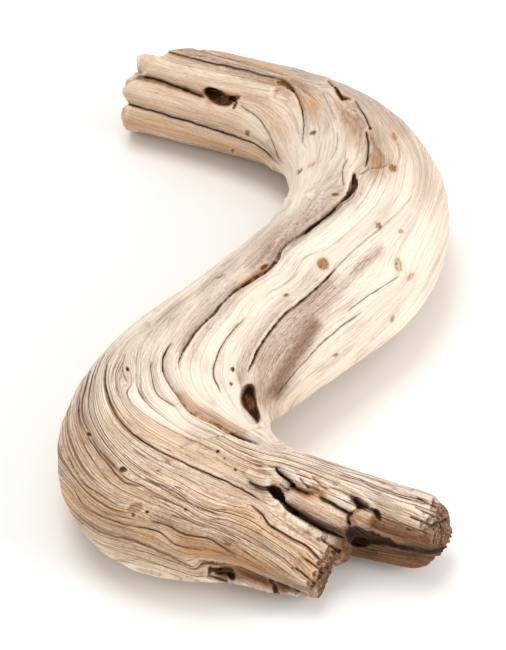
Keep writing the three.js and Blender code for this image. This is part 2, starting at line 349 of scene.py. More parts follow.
STRANDS = {
    "arm low rod": Strand(
        [(118, 112, 7), (126, 114, 9), (150, 121, 10), (200, 135, 10), (250, 151, 9), (276, 168, 5)], 2.0),
    "arm middle rod": Strand(
        [(119, 87, 7), (127, 90, 9), (150, 96, 9.5), (200, 111, 9.5), (245, 126, 8), (268, 143, 4)], 2.0),
    "arm top rod": Strand(
        [(130, 64, 5.5), (138, 64, 7.5), (150, 65, 8.2), (200, 77, 8.5), (245, 88, 9), (276, 93, 6)], 4.0),
    "arm back rod": Strand([(168, 50, 3.5), (200, 54, 5), (250, 66, 5), (290, 79, 4)], 1.2),
    "main crack lip": Strand(
        [(362, 198, 3), (345, 215, 6), (320, 235, 8), (292, 257, 8), (268, 282, 7), (240, 303, 6),
         (215, 326, 5), (197, 351, 3)],
        1.4),
    "second crack lip": Strand(
        [(322, 272, 3), (304, 286, 6), (282, 304, 6), (261, 327, 6), (245, 351, 5), (239, 373, 3)], 1.2),
    "bend roll": Strand(
        [(176, 352, 3), (174, 372, 5), (184, 390, 6.5), (203, 408, 7), (228, 422, 7), (255, 436, 6),
         (290, 452, 4)],
        1.6),
    "limb back rod": Strand([(285, 516, 3), (302, 526, 4.5), (322, 536, 5), (346, 548, 4.8)], 2.8),
    "limb second rod": Strand([(275, 527, 3), (300, 544, 5), (322, 556, 5.5), (339, 564, 5)], 1.6),
    "limb third rod": Strand([(262, 532, 3), (290, 552, 5), (312, 566, 5.5), (327, 575, 5)], 1.2),
    "limb front rod": Strand([(250, 540, 3), (275, 558, 5), (298, 574, 5.5), (314, 585, 5)], 1.0),
    "slab front": Strand([(286, 497, 2.0), (302, 507, 2.6), (324, 518, 2.8), (345, 528, 2.8)], 2.4),
    "slab middle": Strand([(290, 493, 2.2), (306, 502, 2.8), (328, 512, 3), (346, 521, 2.8)], 2.6),
    "slab back": Strand([(300, 494, 2.0), (316, 500, 2.6), (334, 508, 2.6), (346, 515, 2.2)], 2.0),
    "first flake": Strand([(246, 473, 1.6), (257, 479, 3.0), (269, 483, 2.4)], 2.6),
    "second flake": Strand([(262, 468, 1.6), (274, 477, 3.0), (288, 486, 1.8)], 3.2),
    "tooth a": Strand([(280, 467, 1.6), (294, 476, 3.2), (307, 487, 2.2)], 3.6),
    "tooth b": Strand([(298, 472, 1.6), (312, 479, 2.8), (324, 487, 2.0)], 3.2),
    "plate": Strand([(318, 480, 1.6), (334, 490, 3.2), (354, 503, 2.8)], 3.4),
    "plate front": Strand([(320, 488, 1.6), (334, 497, 3.0), (354, 509, 2.6)], 3.4),
    "tooth c": Strand([(338, 484, 1.6), (358, 495, 2.8), (377, 508, 1.8)], 3.4),
    "golden stub": Strand([(350, 513, 3.2), (359, 516, 5.2), (372, 518, 4.4)], 6.0),
    "limb corner": Strand([(314, 534, 4.0), (331, 540, 5.2), (346, 547, 5.0)], 4.0),
    "nub": Strand([(340, 552, 2.5), (349, 556, 3.4)], 2.0),
    "side roll": Strand(
        [(287, 196, 4), (268, 221, 8), (236, 249, 9), (200, 280, 9), (170, 305, 7), (148, 325, 4)], 2.0),
    "ledge": Strand([(228, 577, 4), (250, 583, 5), (276, 590, 5), (302, 596, 4)], 2.6),
    "rear end corner": Strand([(412, 492, 4), (430, 499, 6), (444, 505, 5.5)], 1.6),
    "rear end rod a": Strand([(385, 485, 2), (415, 495, 3.5), (436, 503, 3)], 1.2),
    "rear end rod b": Strand([(380, 495, 2), (410, 507, 4), (431, 515, 3.4)], 1.4),
    "rear end rod c": Strand([(378, 508, 2), (405, 520, 4), (428, 529, 3.6)], 1.6),
    "rear end rod d": Strand([(376, 522, 2), (405, 533, 3.4), (430, 542, 3)], 1.4),
}

# The middle of the branch in the photograph, for distances along it
MIDDLE_LINE = [
    (110, 90), (180, 100), (240, 112), (300, 130), (345, 165), (352, 205), (330, 245), (290, 285),
    (240, 325), (190, 365), (150, 405), (132, 445), (150, 485), (210, 510), (280, 535), (350, 560),
    (460, 595),
]


class Knot(NamedTuple):
    """A knot or pit.

    at is its pixel in the photograph. Its length, breadth and depth are in millimetres and the turn of its
    length in degrees. brown and dark are how much of each colour it has: dark gives a knot its dark heart
    and a deep pit its painted shade.
    """

    at: tuple
    length: float
    breadth: float
    depth: float
    turn: float = 0.0
    brown: float = 0.6
    dark: float = 0.4


KNOTS = {
    "knot hole, deep": Knot((214, 93), 10.5, 5.4, 1.4, 20, 0.6, 1.0),
    "knot hole, end": Knot((233, 99), 4.6, 3.2, 1.4, 20, 0.6, 1.0),
    "knot hole notch": Knot((235, 105), 5, 1.6, 1.6, -65, 0.4, 0.9),
    "shoulder pit, deep": Knot((344, 99), 4.4, 1.8, 1.2, dark=1.0),
    "neck mark": Knot((335, 195), 4.6, 1.8, 0.9, 0, 0.5, 0.7),
    "shoulder dot": Knot((370, 128), 2.2, 1.8, 1.4, 60, 0.6, 0.9),
    "bend pit, fibres": Knot((250, 402), 9.0, 3.2, 0.4, 68, 1.0, 0.15),
    "orange knot": Knot((323, 264), 7.0, 6.0, 0.8, 60, 0.9, 0.25),
    "oval knot": Knot((398, 265), 8.5, 4.2, 0.7, 80, 0.55, 0.15),
    "oval knot, heart": Knot((396, 264), 1.6, 1.6, 0.4, dark=0.7),
    "bend knot": Knot((378, 226), 4.0, 3.2, 0.8, 60, 0.7, 0.45),
    "shoulder knot": Knot((393, 168), 5.4, 4.4, 0.8, 40, 0.9, 0.35),
    "upper knot": Knot((394, 137), 5.0, 2.2, 0.5, 70, 0.9, 0.15),
    "yellow knot": Knot((410, 277), 6.0, 2.6, 0.4, -45, 0.5, 0.1),
    "small knot": Knot((286, 295), 3.0, 1.8, 0.6, -10, 0.6, 0.5),
    "hook knot": Knot((264, 267), 5.0, 2.4, 1.2, -30, 0.8, 0.6),
    "grey mark": Knot((313, 133), 4.0, 1.6, 0.6, -15, 0.1, 0.55),
    "tan mark": Knot((311, 165), 5.0, 2.4, 0.5, -40, 0.4, 0.1),
    "grey slit": Knot((300, 172), 4.5, 1.4, 0.6, -45, 0.1, 0.5),
    "grey knot": Knot((401, 231), 3.0, 2.0, 0.5, -30, 0.1),
    "low knot a": Knot((392, 319), 4.5, 2.4, 0.6, -65, 0.2),
    "low knot b": Knot((336, 355), 3.6, 1.6, 0.5, -40, 0.1, 0.45),
    "side knot": Knot((220, 277), 4.0, 1.2, 0.5, -30, 0.1, 0.5),
    "arm knot": Knot((248, 133), 3.4, 2.6, 0.7, 60, 0.7, 0.35),
    "arm edge knot": Knot((233, 151), 2.0, 2.0, 0.6, 0, 0.7, 0.6),
    "lobe pit a": Knot((128, 369), 2.4, 1.5, 0.9, 70, 0.3, 0.9),
    "lobe pit b": Knot((233, 369), 2.8, 1.9, 0.9, 70, 0.4, 0.8),
    "lobe pit b2": Knot((231, 384), 2.4, 1.7, 0.7, 60, 0.4, 0.6),
    "lobe pit c": Knot((89, 434), 3.0, 1.8, 1.1, 50, 0.5, 0.9),
    "lobe pit d": Knot((123, 470), 4.0, 3.0, 1.1, 20, 0.5, 0.7),
    "lobe pit e": Knot((158, 471), 1.5, 1.3, 0.8, 0, 0.3, 0.9),
    "lobe pit f": Knot((185, 510), 2.2, 1.4, 0.8, 20, 0.3, 0.8),
    "limb pit a": Knot((218, 451), 1.7, 1.4, 0.9, 20, 0.3, 1.0),
    "limb pit b": Knot((224, 459), 1.4, 1.2, 0.8, 0, 0.3, 0.9),
    "limb pit c": Knot((235, 470), 2.2, 1.2, 0.8, 20, 0.8, 0.8),
    "foot knot": Knot((135, 508), 9.5, 6.0, 0.9, -20, 0.35, 0.1),
    "foot pit a": Knot((133, 515), 1.8, 1.5, 1.1, 0, 0.5, 1.0),
    "foot pit b": Knot((147, 512), 1.8, 1.5, 1.1, 0, 0.5, 1.0),
    "foot gap, left": Knot((210, 570), 5.0, 2.0, 2.0, 100, 0.3, 0.9),
    "tooth pocket": Knot((293, 485), 3.0, 2.2, 2.0, 20, 0.4, 1.0),
    "limb end pit a": Knot((334, 553), 4.5, 2.4, 1.8, 60, 0.3, 0.95),
    "limb end pit b": Knot((341, 552), 3.0, 2.0, 1.8, 80, 0.3, 0.9),
    "limb end pit c": Knot((327, 566), 4.5, 2.6, 1.8, -50, 0.3, 0.95),
    "limb end pit d": Knot((320, 576), 5.0, 2.6, 1.8, -55, 0.3, 0.95),
    "limb end pit e": Knot((313, 586), 4.5, 2.4, 1.8, -60, 0.3, 0.9),
}


class Hole(NamedTuple):
    """A hole or gap: its outline in the photograph's pixels, depth in millimetres, brown, and dark, the
    painted shade in its depth.
    """

    outline: list
    depth: float
    brown: float = 0.3
    dark: float = 1.0


HOLES = {
    # Painted shadow under the rear limb, over a recess cut 5 mm deep
    "gap under the rear limb": Hole(
        [(349, 527), (356, 526), (364, 529), (372, 531), (380, 535), (390, 539), (400, 543), (410, 547),
         (420, 550), (431, 550), (444, 548), (447, 551), (440, 553), (428, 554), (415, 551), (402, 549),
         (392, 547), (383, 545), (374, 545), (364, 546), (354, 546), (349, 543), (346, 538), (345, 533)],
        5.0, 0.5, 0.75),
    "fork hole": Hole(
        [(265, 488), (271, 484), (278, 487), (283, 492), (285, 501), (278, 501), (271, 495)], 7.0),
    "gap beside the stub": Hole(
        [(350, 494), (356, 498), (362, 503), (369, 508), (363, 508), (357, 510), (353, 513), (350, 516),
         (351, 521), (350, 527), (347, 522), (347, 515), (351, 511), (357, 506), (354, 500)],
        3.5),
    "gap at the tooth tip": Hole(
        [(369, 509), (375, 509), (380, 514), (380, 520), (376, 517), (373, 512)], 2.5),
    "knot hole": Hole(
        [(203, 91), (207, 87), (217, 89), (227, 94), (240, 96), (236, 101), (230, 105), (222, 106),
         (214, 103), (208, 98)],
        9.0, 1.0, 0.4),
    "bend pit": Hole(
        [(249, 386), (254, 387), (253, 394), (256, 400), (258, 408), (260, 417), (258, 423), (254, 418),
         (249, 412), (243, 407), (241, 400), (244, 392)],
        5.0, 1.0, 0.7),
    "shoulder pit": Hole(
        [(334, 86), (338, 88), (341, 94), (347, 97), (351, 100), (340, 101), (338, 97), (335, 91)],
        3.4, 1.0, 0.5),
    "slot": Hole(
        [(353, 172), (356, 176), (357, 182), (356, 189), (351, 196), (345, 200), (339, 204), (343, 199),
         (349, 193), (352, 185), (352, 177)],
        5.0, 0.9, 0.75),
    "branch scar": Hole(
        [(277, 81), (284, 80), (291, 85), (296, 92), (290, 90), (284, 86), (277, 84)], 3.0, 1.0, 0.6),
    "foot gap": Hole(
        [(211, 568), (222, 567), (232, 568), (235, 573), (234, 581), (230, 579), (227, 574), (219, 574),
         (212, 571)],
        3.5),
    "ledge gap": Hole([(268, 579), (273, 581), (277, 587), (279, 595), (274, 594), (272, 586)], 2.5),
}

# Stains, silvering, other wear and painted shade that the photograph shows, by kind: path in its pixels,
# breadth in millimetres, strength
STAINS = {
    "grey": {
        "main crack flank": ([(340, 196), (322, 210), (296, 228), (270, 250), (257, 264)], 7.5, 0.9),
        "main crack, lower flank": ([(238, 283), (220, 298), (204, 313), (192, 332), (183, 345)], 4.0, 0.6),
        "main crack, right": ([(232, 303), (214, 322), (200, 340), (190, 358)], 3.5, 0.45),
        "second crack band": ([(326, 290), (302, 316), (284, 342), (270, 370), (262, 395)], 9.0, 0.95),
        "second crack, left": ([(290, 304), (266, 330), (250, 355), (243, 378)], 4.0, 0.8),
        "upper streak": ([(379, 251), (366, 262), (355, 272)], 3.6, 0.9),
        "middle streak": ([(350, 279), (335, 292)], 4.0, 0.6),
        "neck plates": ([(348, 108), (360, 128), (374, 146), (376, 164)], 9.0, 0.9),
        "upper neck": ([(318, 120), (325, 150), (335, 182)], 12.0, 0.35),
        "slot flank": ([(358, 172), (360, 190), (352, 204)], 4.0, 0.6),
        "back band": ([(190, 55), (230, 67), (270, 79), (306, 92)], 4.5, 0.95),
        "top edge": ([(300, 74), (340, 86), (370, 103), (402, 130)], 8.0, 0.75),
        "shoulder, grey": ([(392, 122), (416, 152), (432, 192)], 10.0, 0.4),
        "right edge": ([(440, 175), (449, 215), (446, 255), (430, 292)], 8.0, 0.25),
        "diagonal, upper": ([(395, 215), (362, 250), (340, 270)], 9.0, 0.15),
        "lobe edge": ([(86, 392), (74, 430), (67, 465)], 7.0, 0.5),
        "lobe band": ([(125, 436), (165, 462), (200, 478), (235, 496)], 7.0, 0.4),
        "lobe low band": ([(80, 517), (108, 533), (140, 544), (178, 558)], 3.2, 0.9),
        "lobe patch": ([(165, 514), (190, 521), (212, 528)], 6.0, 0.5),
        "ledge": ([(240, 575), (270, 584), (305, 593)], 4.0, 1.0),
        "slab face": ([(287, 502), (304, 513), (324, 522), (344, 530)], 2.6, 1.0),
        "rear limb streak": ([(322, 455), (360, 470), (400, 487), (425, 498)], 3.5, 0.4),
        "side blotch a": ([(236, 262), (205, 290)], 4.0, 0.35),
        "side blotch b": ([(178, 308), (150, 338)], 5.0, 0.4),
        "upper lobe": ([(140, 350), (132, 372)], 6.0, 0.3),
    },
    "tan": {
        "neck plates, tan": ([(350, 112), (362, 130), (376, 148), (378, 164)], 10.0, 0.65),
        "back band, tan": ([(176, 51), (220, 60), (280, 77), (312, 104)], 7.0, 1.0),
        "shoulder": ([(395, 130), (415, 160), (425, 190)], 11.0, 0.15),
        "arm low rod": ([(126, 118), (180, 133), (230, 148), (264, 161)], 9.0, 1.0),
        "arm middle rod": ([(126, 92), (180, 107), (235, 126)], 8.0, 0.65),
        "arm top rod": ([(140, 66), (190, 78), (250, 95), (280, 125)], 10.0, 0.45),
        "lobe low": ([(80, 500), (120, 522), (170, 540), (230, 556), (280, 578)], 15.0, 1.0),
        "lobe middle": ([(72, 450), (110, 480), (150, 500), (200, 516), (260, 540)], 16.0, 0.65),
        "front limb": ([(240, 520), (280, 545), (315, 570)], 18.0, 0.85),
        "rear limb": ([(285, 465), (350, 490), (420, 520)], 20.0, 0.2),
        "lobe centre": ([(115, 422), (170, 442), (220, 460), (260, 475)], 10.0, 0.55),
        "slab top": ([(298, 502), (322, 512), (344, 521)], 4.5, 0.9),
        "stub": ([(354, 515), (372, 519)], 5.0, 1.0),
    },
    "orange": {
        # painted warm shade in the wedge under the arm's top rod
        "arm gap glow": ([(140, 78), (170, 86), (200, 95)], 3.2, 0.4),
        "rear limb, front": ([(376, 523), (395, 530), (426, 541)], 6.0, 0.6),
        "rear limb, low": ([(352, 552), (390, 560), (432, 566)], 9.0, 0.8),
        # painted shade on the flank of the bend's roll, partly stain
        "bend flank": ([(182, 397), (197, 410), (216, 420), (242, 434)], 3.0, 0.75),
        "crack resin": ([(262, 270), (250, 280), (236, 291)], 2.2, 0.85),
        "scar resin": ([(279, 83), (284, 82)], 3.0, 0.7),
        "scar patch": ([(311, 104), (317, 121)], 3.0, 0.5),
        "neck patch": ([(376, 158), (380, 164)], 3.0, 0.55),
        "fork resin": ([(296, 490), (308, 494), (321, 494)], 3.2, 0.9),
        "stub resin": ([(354, 518), (362, 520), (372, 521)], 2.6, 0.5),
        "foot streak": ([(186, 543), (225, 558), (258, 572)], 5.0, 0.55),
        "limb end resin": ([(306, 560), (316, 582)], 4.5, 0.4),
        "knot hole bits": ([(209, 102), (216, 101)], 2.0, 0.8),
        "knot hole bits, right": ([(225, 98), (229, 96)], 2.0, 0.7),
        "bend pit wood": ([(246, 396), (252, 408)], 3.0, 0.5),
        "tooth tips": ([(276, 482), (287, 485), (304, 487), (322, 488)], 2.4, 0.4),
    },
    # Dirt, and painted shade in the arm's gaps, beside the main crack, under the rear limb, and in the fork
    # round its teeth, plate, stub and slab
    "dirt_and_shade": {
        "second crack, core": ([(314, 326), (302, 346), (288, 368), (276, 392)], 6.0, 0.7),
        "lobe low band, core": ([(84, 520), (108, 533), (135, 542)], 2.4, 0.35),
        "arm gap": ([(140, 77), (158, 81), (180, 88), (204, 95)], 2.2, 0.75),
        "arm low gap": ([(118, 101), (150, 109), (200, 124), (245, 139)], 1.8, 0.45),
        "rear limb, front dirt": ([(376, 524), (395, 531), (426, 542)], 6.0, 1.0),
        "lower front": ([(190, 541), (240, 552), (284, 576)], 9.0, 0.34),
        "rear limb, under": ([(350, 545), (390, 554), (432, 564)], 11.0, 1.0),
        "rear limb, end": ([(445, 508), (443, 545)], 6.0, 0.4),
        "neck brown": ([(350, 104), (363, 124), (374, 146), (372, 165)], 5.0, 0.2),
        "main crack, dark": ([(338, 203), (318, 219), (292, 236), (275, 254)], 3.2, 0.15),
        "ledge gap": ([(228, 572), (255, 578), (285, 590)], 3.4, 0.85),
        "tooth shade": ([(256, 488), (270, 489), (284, 490), (292, 488), (302, 493), (314, 493)], 1.8, 0.6),
        "plate shade": ([(322, 500), (335, 507), (350, 514)], 1.5, 0.55),
        "stub shade": ([(352, 500), (362, 507), (350, 516), (356, 526), (368, 529), (378, 518)], 1.8, 0.7),
        "slab face, shade": ([(287, 503), (304, 514), (324, 524), (344, 532)], 2.2, 0.75),
        "fork dark": ([(276, 492), (292, 511), (321, 528), (346, 538)], 2.0, 0.7),
        "limb end": ([(350, 553), (339, 568), (320, 593)], 4.0, 0.5),
        "arm back dirt": ([(180, 52), (230, 63), (270, 75), (300, 85)], 5.0, 0.3),
    },
    # Painted shade: in the gaps, under the fork's flakes, teeth and plate, behind the stub, at the broken
    # ends, in the foot gap, beside the main crack and in the bend pit
    "dark": {
        "gap, deep": ([(348, 532), (360, 537), (380, 542), (400, 547), (425, 551), (445, 550)], 3.4, 0.95),
        "gap, left": ([(350, 538), (360, 544), (374, 549)], 5.0, 0.6),
        "slab face, deep": ([(288, 506), (304, 517), (324, 526), (344, 534)], 2.0, 0.7),
        "under the flakes": ([(252, 484), (262, 488), (274, 489)], 1.4, 0.8),
        "under the teeth": ([(278, 471), (285, 479), (292, 486), (300, 490), (312, 494)], 1.2, 0.8),
        "under the plate": ([(322, 499), (335, 506), (349, 513)], 1.3, 0.8),
        "behind the stub": ([(351, 497), (358, 505), (366, 509), (377, 512), (380, 519)], 1.5, 0.9),
        "front limb end": ([(342, 548), (334, 560), (324, 572), (312, 588)], 2.2, 0.4),
        "rear limb end": ([(429, 527), (438, 524), (448, 520)], 1.4, 0.5),
        "foot gap": ([(212, 569), (224, 571), (234, 575)], 2.0, 0.7),
        "main crack": ([(340, 206), (330, 216), (316, 226), (290, 244)], 1.5, 0.5),
        "bend pit, upper": ([(249, 387), (250, 394)], 2.2, 1.0),
        "bend pit, lower": ([(254, 410), (258, 419)], 2.0, 1.0),
    },
    "lined": {
        "lobe lines": ([(95, 395), (100, 450), (150, 500), (230, 535), (310, 570)], 34.0, 1.0),
        "limb lines": ([(225, 440), (280, 465), (350, 490), (430, 520)], 19.0, 0.8),
    },
    "smooth": {
        "neck, smooth": ([(296, 160), (312, 148), (326, 165), (334, 190), (316, 205)], 15.0, 1.0),
        "bend, smooth": ([(215, 385), (232, 410), (256, 430), (272, 440)], 9.0, 0.9),
    },
    "rough": {
        "neck lumps": ([(340, 105), (358, 128), (366, 150), (352, 180)], 12.0, 0.5),
        "shoulder lumps": ([(384, 124), (394, 150), (398, 176)], 9.0, 0.55),
        "arm lumps": ([(120, 98), (135, 100), (150, 104)], 12.0, 0.6),
        "lobe lumps": ([(70, 470), (100, 510), (150, 530), (200, 545)], 12.0, 0.8),
        "bend lumps": ([(236, 380), (252, 402), (262, 428)], 9.0, 0.8),
        "fork lumps": ([(270, 480), (310, 486), (345, 500), (400, 525), (440, 530)], 9.0, 0.6),
        "side lumps": ([(262, 232), (215, 276), (165, 318)], 12.0, 0.5),
    },
    "short": {
        "split end": ([(121, 74), (128, 77), (136, 79)], 2.2, 1.0),
        "split end, lower": ([(114, 101), (122, 103)], 1.2, 0.5),
    },
}


def linear(code):
    """A colour of the wood or the stage, from its sRGB hex code."""
    channels = [int(code[i:i + 2], 16) / 255 for i in (0, 2, 4)]
    return [c / 12.92 if c <= 0.04045 else ((c + 0.055) / 1.055) ** 2.4 for c in channels]


def colour_setting(name, description, code):
    """A colour that the panel can change."""
    return FloatVectorProperty(name=name, description=description, subtype="COLOR", default=linear(code))


class BranchShape(bpy.types.PropertyGroup):
    """Sizes of the wood's carving."""

    detail: FloatProperty(
        name="Detail", description="Spacing of the carved surface",
        default=0.75 * MM, min=0.4 * MM, unit="LENGTH")
    flutes: FloatProperty(
        name="Flutes", description="Depth of the broad hollows along the grain",
        default=1.5 * MM, unit="LENGTH")
    layers: FloatProperty(
        name="Layers", description="Height of the steps between weathered layers",
        default=0.8 * MM, unit="LENGTH")
    furrows: FloatProperty(
        name="Furrows", description="Depth of the narrow furrows along the grain",
        default=0.28 * MM, unit="LENGTH")
    hidden_cracks: IntProperty(
        name="Hidden cracks", description="Cracks on the sides that the photograph doesn't show",
        default=110)
    hidden_knots: IntProperty(
        name="Hidden knots", description="Knots on the sides that the photograph doesn't show", default=22)
    triangles: IntProperty(
        name="Triangles", description="Most triangles the finished branch may have", default=196000)


class BranchColours(bpy.types.PropertyGroup):
    """Colours of the weathered wood."""

    bleached: colour_setting("Bleached", "Sun-bleached upper sides", "F5E7D6")
    tan: colour_setting("Tan", "Sheltered sides", "D3AB84")
    grey: colour_setting("Grey", "Silvered streaks", "B39C8C")
    streak: colour_setting("Streak", "Darker growth lines", "9A7351")
    orange: colour_setting("Orange", "Resin-stained wood and knots", "B5793F")
    # also the colour of the painted shade in the hollows, the gaps and beside the cracks
    dirt_and_shade: colour_setting("Dirt", "Torn and shaded wood", "6A452B")
    # crack colour: painted shade inside the cracks, holes and gaps
    crack: colour_setting("Crack", "Depths of the cracks", "24160C")


class StageSettings(bpy.types.PropertyGroup):
    """The floor, light and camera."""

    lens: FloatProperty(name="Lens", description="Focal length in millimetres", default=120.0)
    distance: FloatProperty(
        name="Distance", description="From the aim to the camera", default=1.19, unit="LENGTH")
    height: FloatProperty(
        name="Height", description="Angle above the floor", default=math.radians(45), subtype="ANGLE")
    aim: FloatVectorProperty(
        name="Aim", description="Point at the middle of the picture", subtype="TRANSLATION",
        default=(-5.56 * MM, -35.29 * MM, 34 * MM))
    floor: colour_setting("Floor", "Pale studio floor", "F6F4F1")


def viewpoint(stage):
    """Where the camera stands, and the direction from the aim to it."""
    back = Vector((0, -math.cos(stage.height), math.sin(stage.height)))
    return Vector(stage.aim) + back * stage.distance, back


def focal_pixels(stage):
    """The lens's focal length, in pixels of the photograph."""
    return stage.lens / SENSOR * PHOTO_HIGH


def in_photograph(stage, points):
    """The pixel of the photograph where each point shows."""
    eye, back = viewpoint(stage)
    up = back.cross(RIGHT)
    rel = points * MM - np.array(eye)
    scale = focal_pixels(stage) / -(rel @ np.array(back))
    return np.stack([PHOTO_WIDE / 2 + scale * (rel @ np.array(RIGHT)),
                     PHOTO_HIGH / 2 - scale * (rel @ np.array(up))], 1)


def smooth_step(low, high, value):
    """Eases from 0 where the value is low to 1 where it is high."""
    t = np.clip((value - low) / (high - low), 0, 1)
    return t * t * (3 - 2 * t)


def hump(value, middle, breadth):
    """A bell that is 1 at the middle."""
    return np.exp(-((value - middle) / breadth) ** 2)


def curve_through(points, spacing):
    """Points every so often along a smooth curve through the given ones."""
    p = np.asarray(points, float)
    p = np.vstack([2 * p[0] - p[1], p, 2 * p[-1] - p[-2]])
    made = []
    for a, b, c, d in zip(p[:-3], p[1:-2], p[2:-1], p[3:]):
        count = max(1, int(round(np.linalg.norm((c - b)[:3]) / spacing)))
        for t in np.arange(count) / count:
            made.append(0.5 * (2 * b + (c - a) * t + (2 * a - 5 * b + 4 * c - d) * t ** 2
                               + (3 * b - a - 3 * c + d) * t ** 3))
    made.append(p[-2])
    return np.array(made)


def headings(line):
    """The direction of a line at each of its points."""
    heading = np.gradient(line, axis=0)
    return heading / np.linalg.norm(heading, axis=1)[:, None]


def nearest_on(line, points):
    """Which of the line's points is nearest to each given one."""
    return ((line ** 2).sum(1)[None, :] - 2 * points @ line.T).argmin(1)


def lattice_value(cell, seed):
    """A fixed number from -1 to 1 for each whole-number cell."""
    a, b, c, d = (np.uint32(number) for number in SCATTER)
    x, y, z = cell.astype(np.int64).astype(np.uint32).T
    h = x * a + y * b + z * c
    h = h + np.uint32(seed * SCATTER[3] % WORD)
    h = (h ^ (h >> np.uint32(15))) * c
    h = (h ^ (h >> np.uint32(13))) * d
    h = h ^ (h >> np.uint32(16))
    return h / ((WORD - 1) / 2) - 1


def wander(place, seed):
    """Smooth random height, about -1 to 1, at each place."""
    base = np.floor(place)
    f = place - base
    f = f * f * f * (f * (f * 6 - 15) + 10)
    total = np.zeros(len(place))
    for corner in np.ndindex(2, 2, 2):
        x, y, z = np.where(corner, f, 1 - f).T
        total += x * y * z * lattice_value(base + corner, seed)
    return total


def beside(places, line, reach):
    """For the places near a line: which they are, how far off, how far along it and on which side.

    The side is 1 on the right of the line and -1 on its left.
    """
    low, high = line.min(0) - reach, line.max(0) + reach
    near = np.flatnonzero(((places > low) & (places < high)).all(1))
    p = places[near]
    gap = np.full(len(near), float(reach))
    along, side = np.zeros((2, len(near)))
    for k, (a, b) in enumerate(zip(line[:-1], line[1:])):
        ab = b - a
        close = np.flatnonzero((np.abs(p - (a + b) / 2) < reach + np.abs(ab).max() / 2).all(1))
        q = p[close] - a
        t = np.clip(q @ ab / max(ab @ ab, TINY), 0, 1)
        away = q - t[:, None] * ab
        d = np.hypot(away[:, 0], away[:, 1])
        better = d < gap[close]
        pick = close[better]
        gap[pick] = d[better]
        along[pick] = (k + t[better]) / (len(line) - 1)
        side[pick] = np.sign(ab[0] * away[better, 1] - ab[1] * away[better, 0])
    kept = gap < reach
    return near[kept], gap[kept], along[kept], side[kept]


def mean_around(field, reach):
    """For each cell of the map, the mean of the four cells that are so many away."""
    high, wide = field.shape
    rows, columns = np.arange(high), np.arange(wide)
    return 0.25 * (field[np.maximum(rows - reach, 0)] + field[np.minimum(rows + reach, high - 1)]
                   + field[:, np.maximum(columns - reach, 0)]
                   + field[:, np.minimum(columns + reach, wide - 1)])


def fibre_map():
    """Fibre numbers over the photograph, eased between the known grain lines."""
    high, wide = PHOTO_HIGH // CELL, PHOTO_WIDE // CELL
    total, count = np.zeros((2, high, wide))
    known = [[(x, y, crack.fibre) for x, y in crack.line]
             for crack in CRACKS.values() if crack.fibre is not None]
    for line in known + list(GRAIN_LINES.values()):
        for x, y, fibre in curve_through(line, 1.0):
            row, column = int(np.clip(y / CELL, 0, high - 1)), int(np.clip(x / CELL, 0, wide - 1))
            total[row, column] += fibre
            count[row, column] += 1
    fixed = count > 0
    field = np.where(fixed, total / np.maximum(count, 1), total.sum() / count.sum())
    for reach in EASING_REACHES:
        for _ in range(EASING_ROUNDS):
            field = np.where(fixed, field, mean_around(field, reach))
    for _ in range(LAST_ROUNDS):
        field = mean_around(field, 1)
    return field


def read_map(field, pixels):
    """The fibre number at each pixel, between the cells of the map."""
    x = np.clip(pixels[:, 0] / CELL - 0.5, 0, field.shape[1] - 1.001)
    y = np.clip(pixels[:, 1] / CELL - 0.5, 0, field.shape[0] - 1.001)
    i, j = x.astype(int), y.astype(int)
    u, v = x - i, y - j
    return ((field[j, i] * (1 - u) + field[j, i + 1] * u) * (1 - v)
            + (field[j + 1, i] * (1 - u) + field[j + 1, i + 1] * u) * v)


class Grain:
    """How the fibres run by the pith: each point's limb, its way along the pith and its place across it."""

    def __init__(self, points):
        count = len(points)
        self.nearness = np.full(count, np.inf)
        self.along, self.across, self.upward, self.to_end, self.to_start = np.zeros((5, count))
        self.limb = np.zeros(count, int)
        self.direction, self.outward = np.zeros((2, count, 3))
        for number, places in enumerate(LIMBS):
            self.measure(points, number, curve_through(places, STEP))

    def measure(self, points, number, line):
        """Takes one limb's figures for the points that are nearer to it than to the limbs before."""
        pith = line[:, :3]
        nearest = nearest_on(pith, points)
        reached = np.concatenate([[0], np.cumsum(np.linalg.norm(np.diff(pith, axis=0), axis=1))])
        t = headings(pith)[nearest]
        slip = ((points - pith[nearest]) * t).sum(1)
        offset = points - pith[nearest] - slip[:, None] * t
        side = np.cross(t, (0, 0, 1))
        side /= np.linalg.norm(side, axis=1)[:, None]
        up = np.cross(side, t)
        a, b = (offset * side).sum(1), (offset * up).sum(1)
        half = line[nearest, 3:5] / 2
        past_end = np.clip(np.abs(slip) - 2, 0, None)
        ratio = np.hypot(a / half[:, 0], b / half[:, 1]) + past_end / half.min(1)
        nearer = ratio < self.nearness
        self.nearness[nearer] = ratio[nearer]
        self.limb[nearer] = number
        self.along[nearer] = (reached[nearest] + slip)[nearer] + LIMB_APART * number
        self.to_start[nearer] = (reached[nearest] + slip)[nearer]
        self.to_end[nearer] = (reached[-1] - reached[nearest] - slip)[nearer]
        self.across[nearer] = a[nearer]
        self.upward[nearer] = b[nearer]
        self.direction[nearer] = t[nearer]
        self.outward[nearer] = (offset / (np.linalg.norm(offset, axis=1)[:, None] + 1e-6))[nearer]


def points_and_normals(mesh):
    """The mesh's points in millimetres, and which way it faces at each."""
    points, normals = np.zeros((2, len(mesh.vertices) * 3), np.float32)
    mesh.vertices.foreach_get("co", points)
    mesh.vertex_normals.foreach_get("vector", normals)
    return points.reshape(-1, 3).astype(float) / MM, normals.reshape(-1, 3).astype(float)


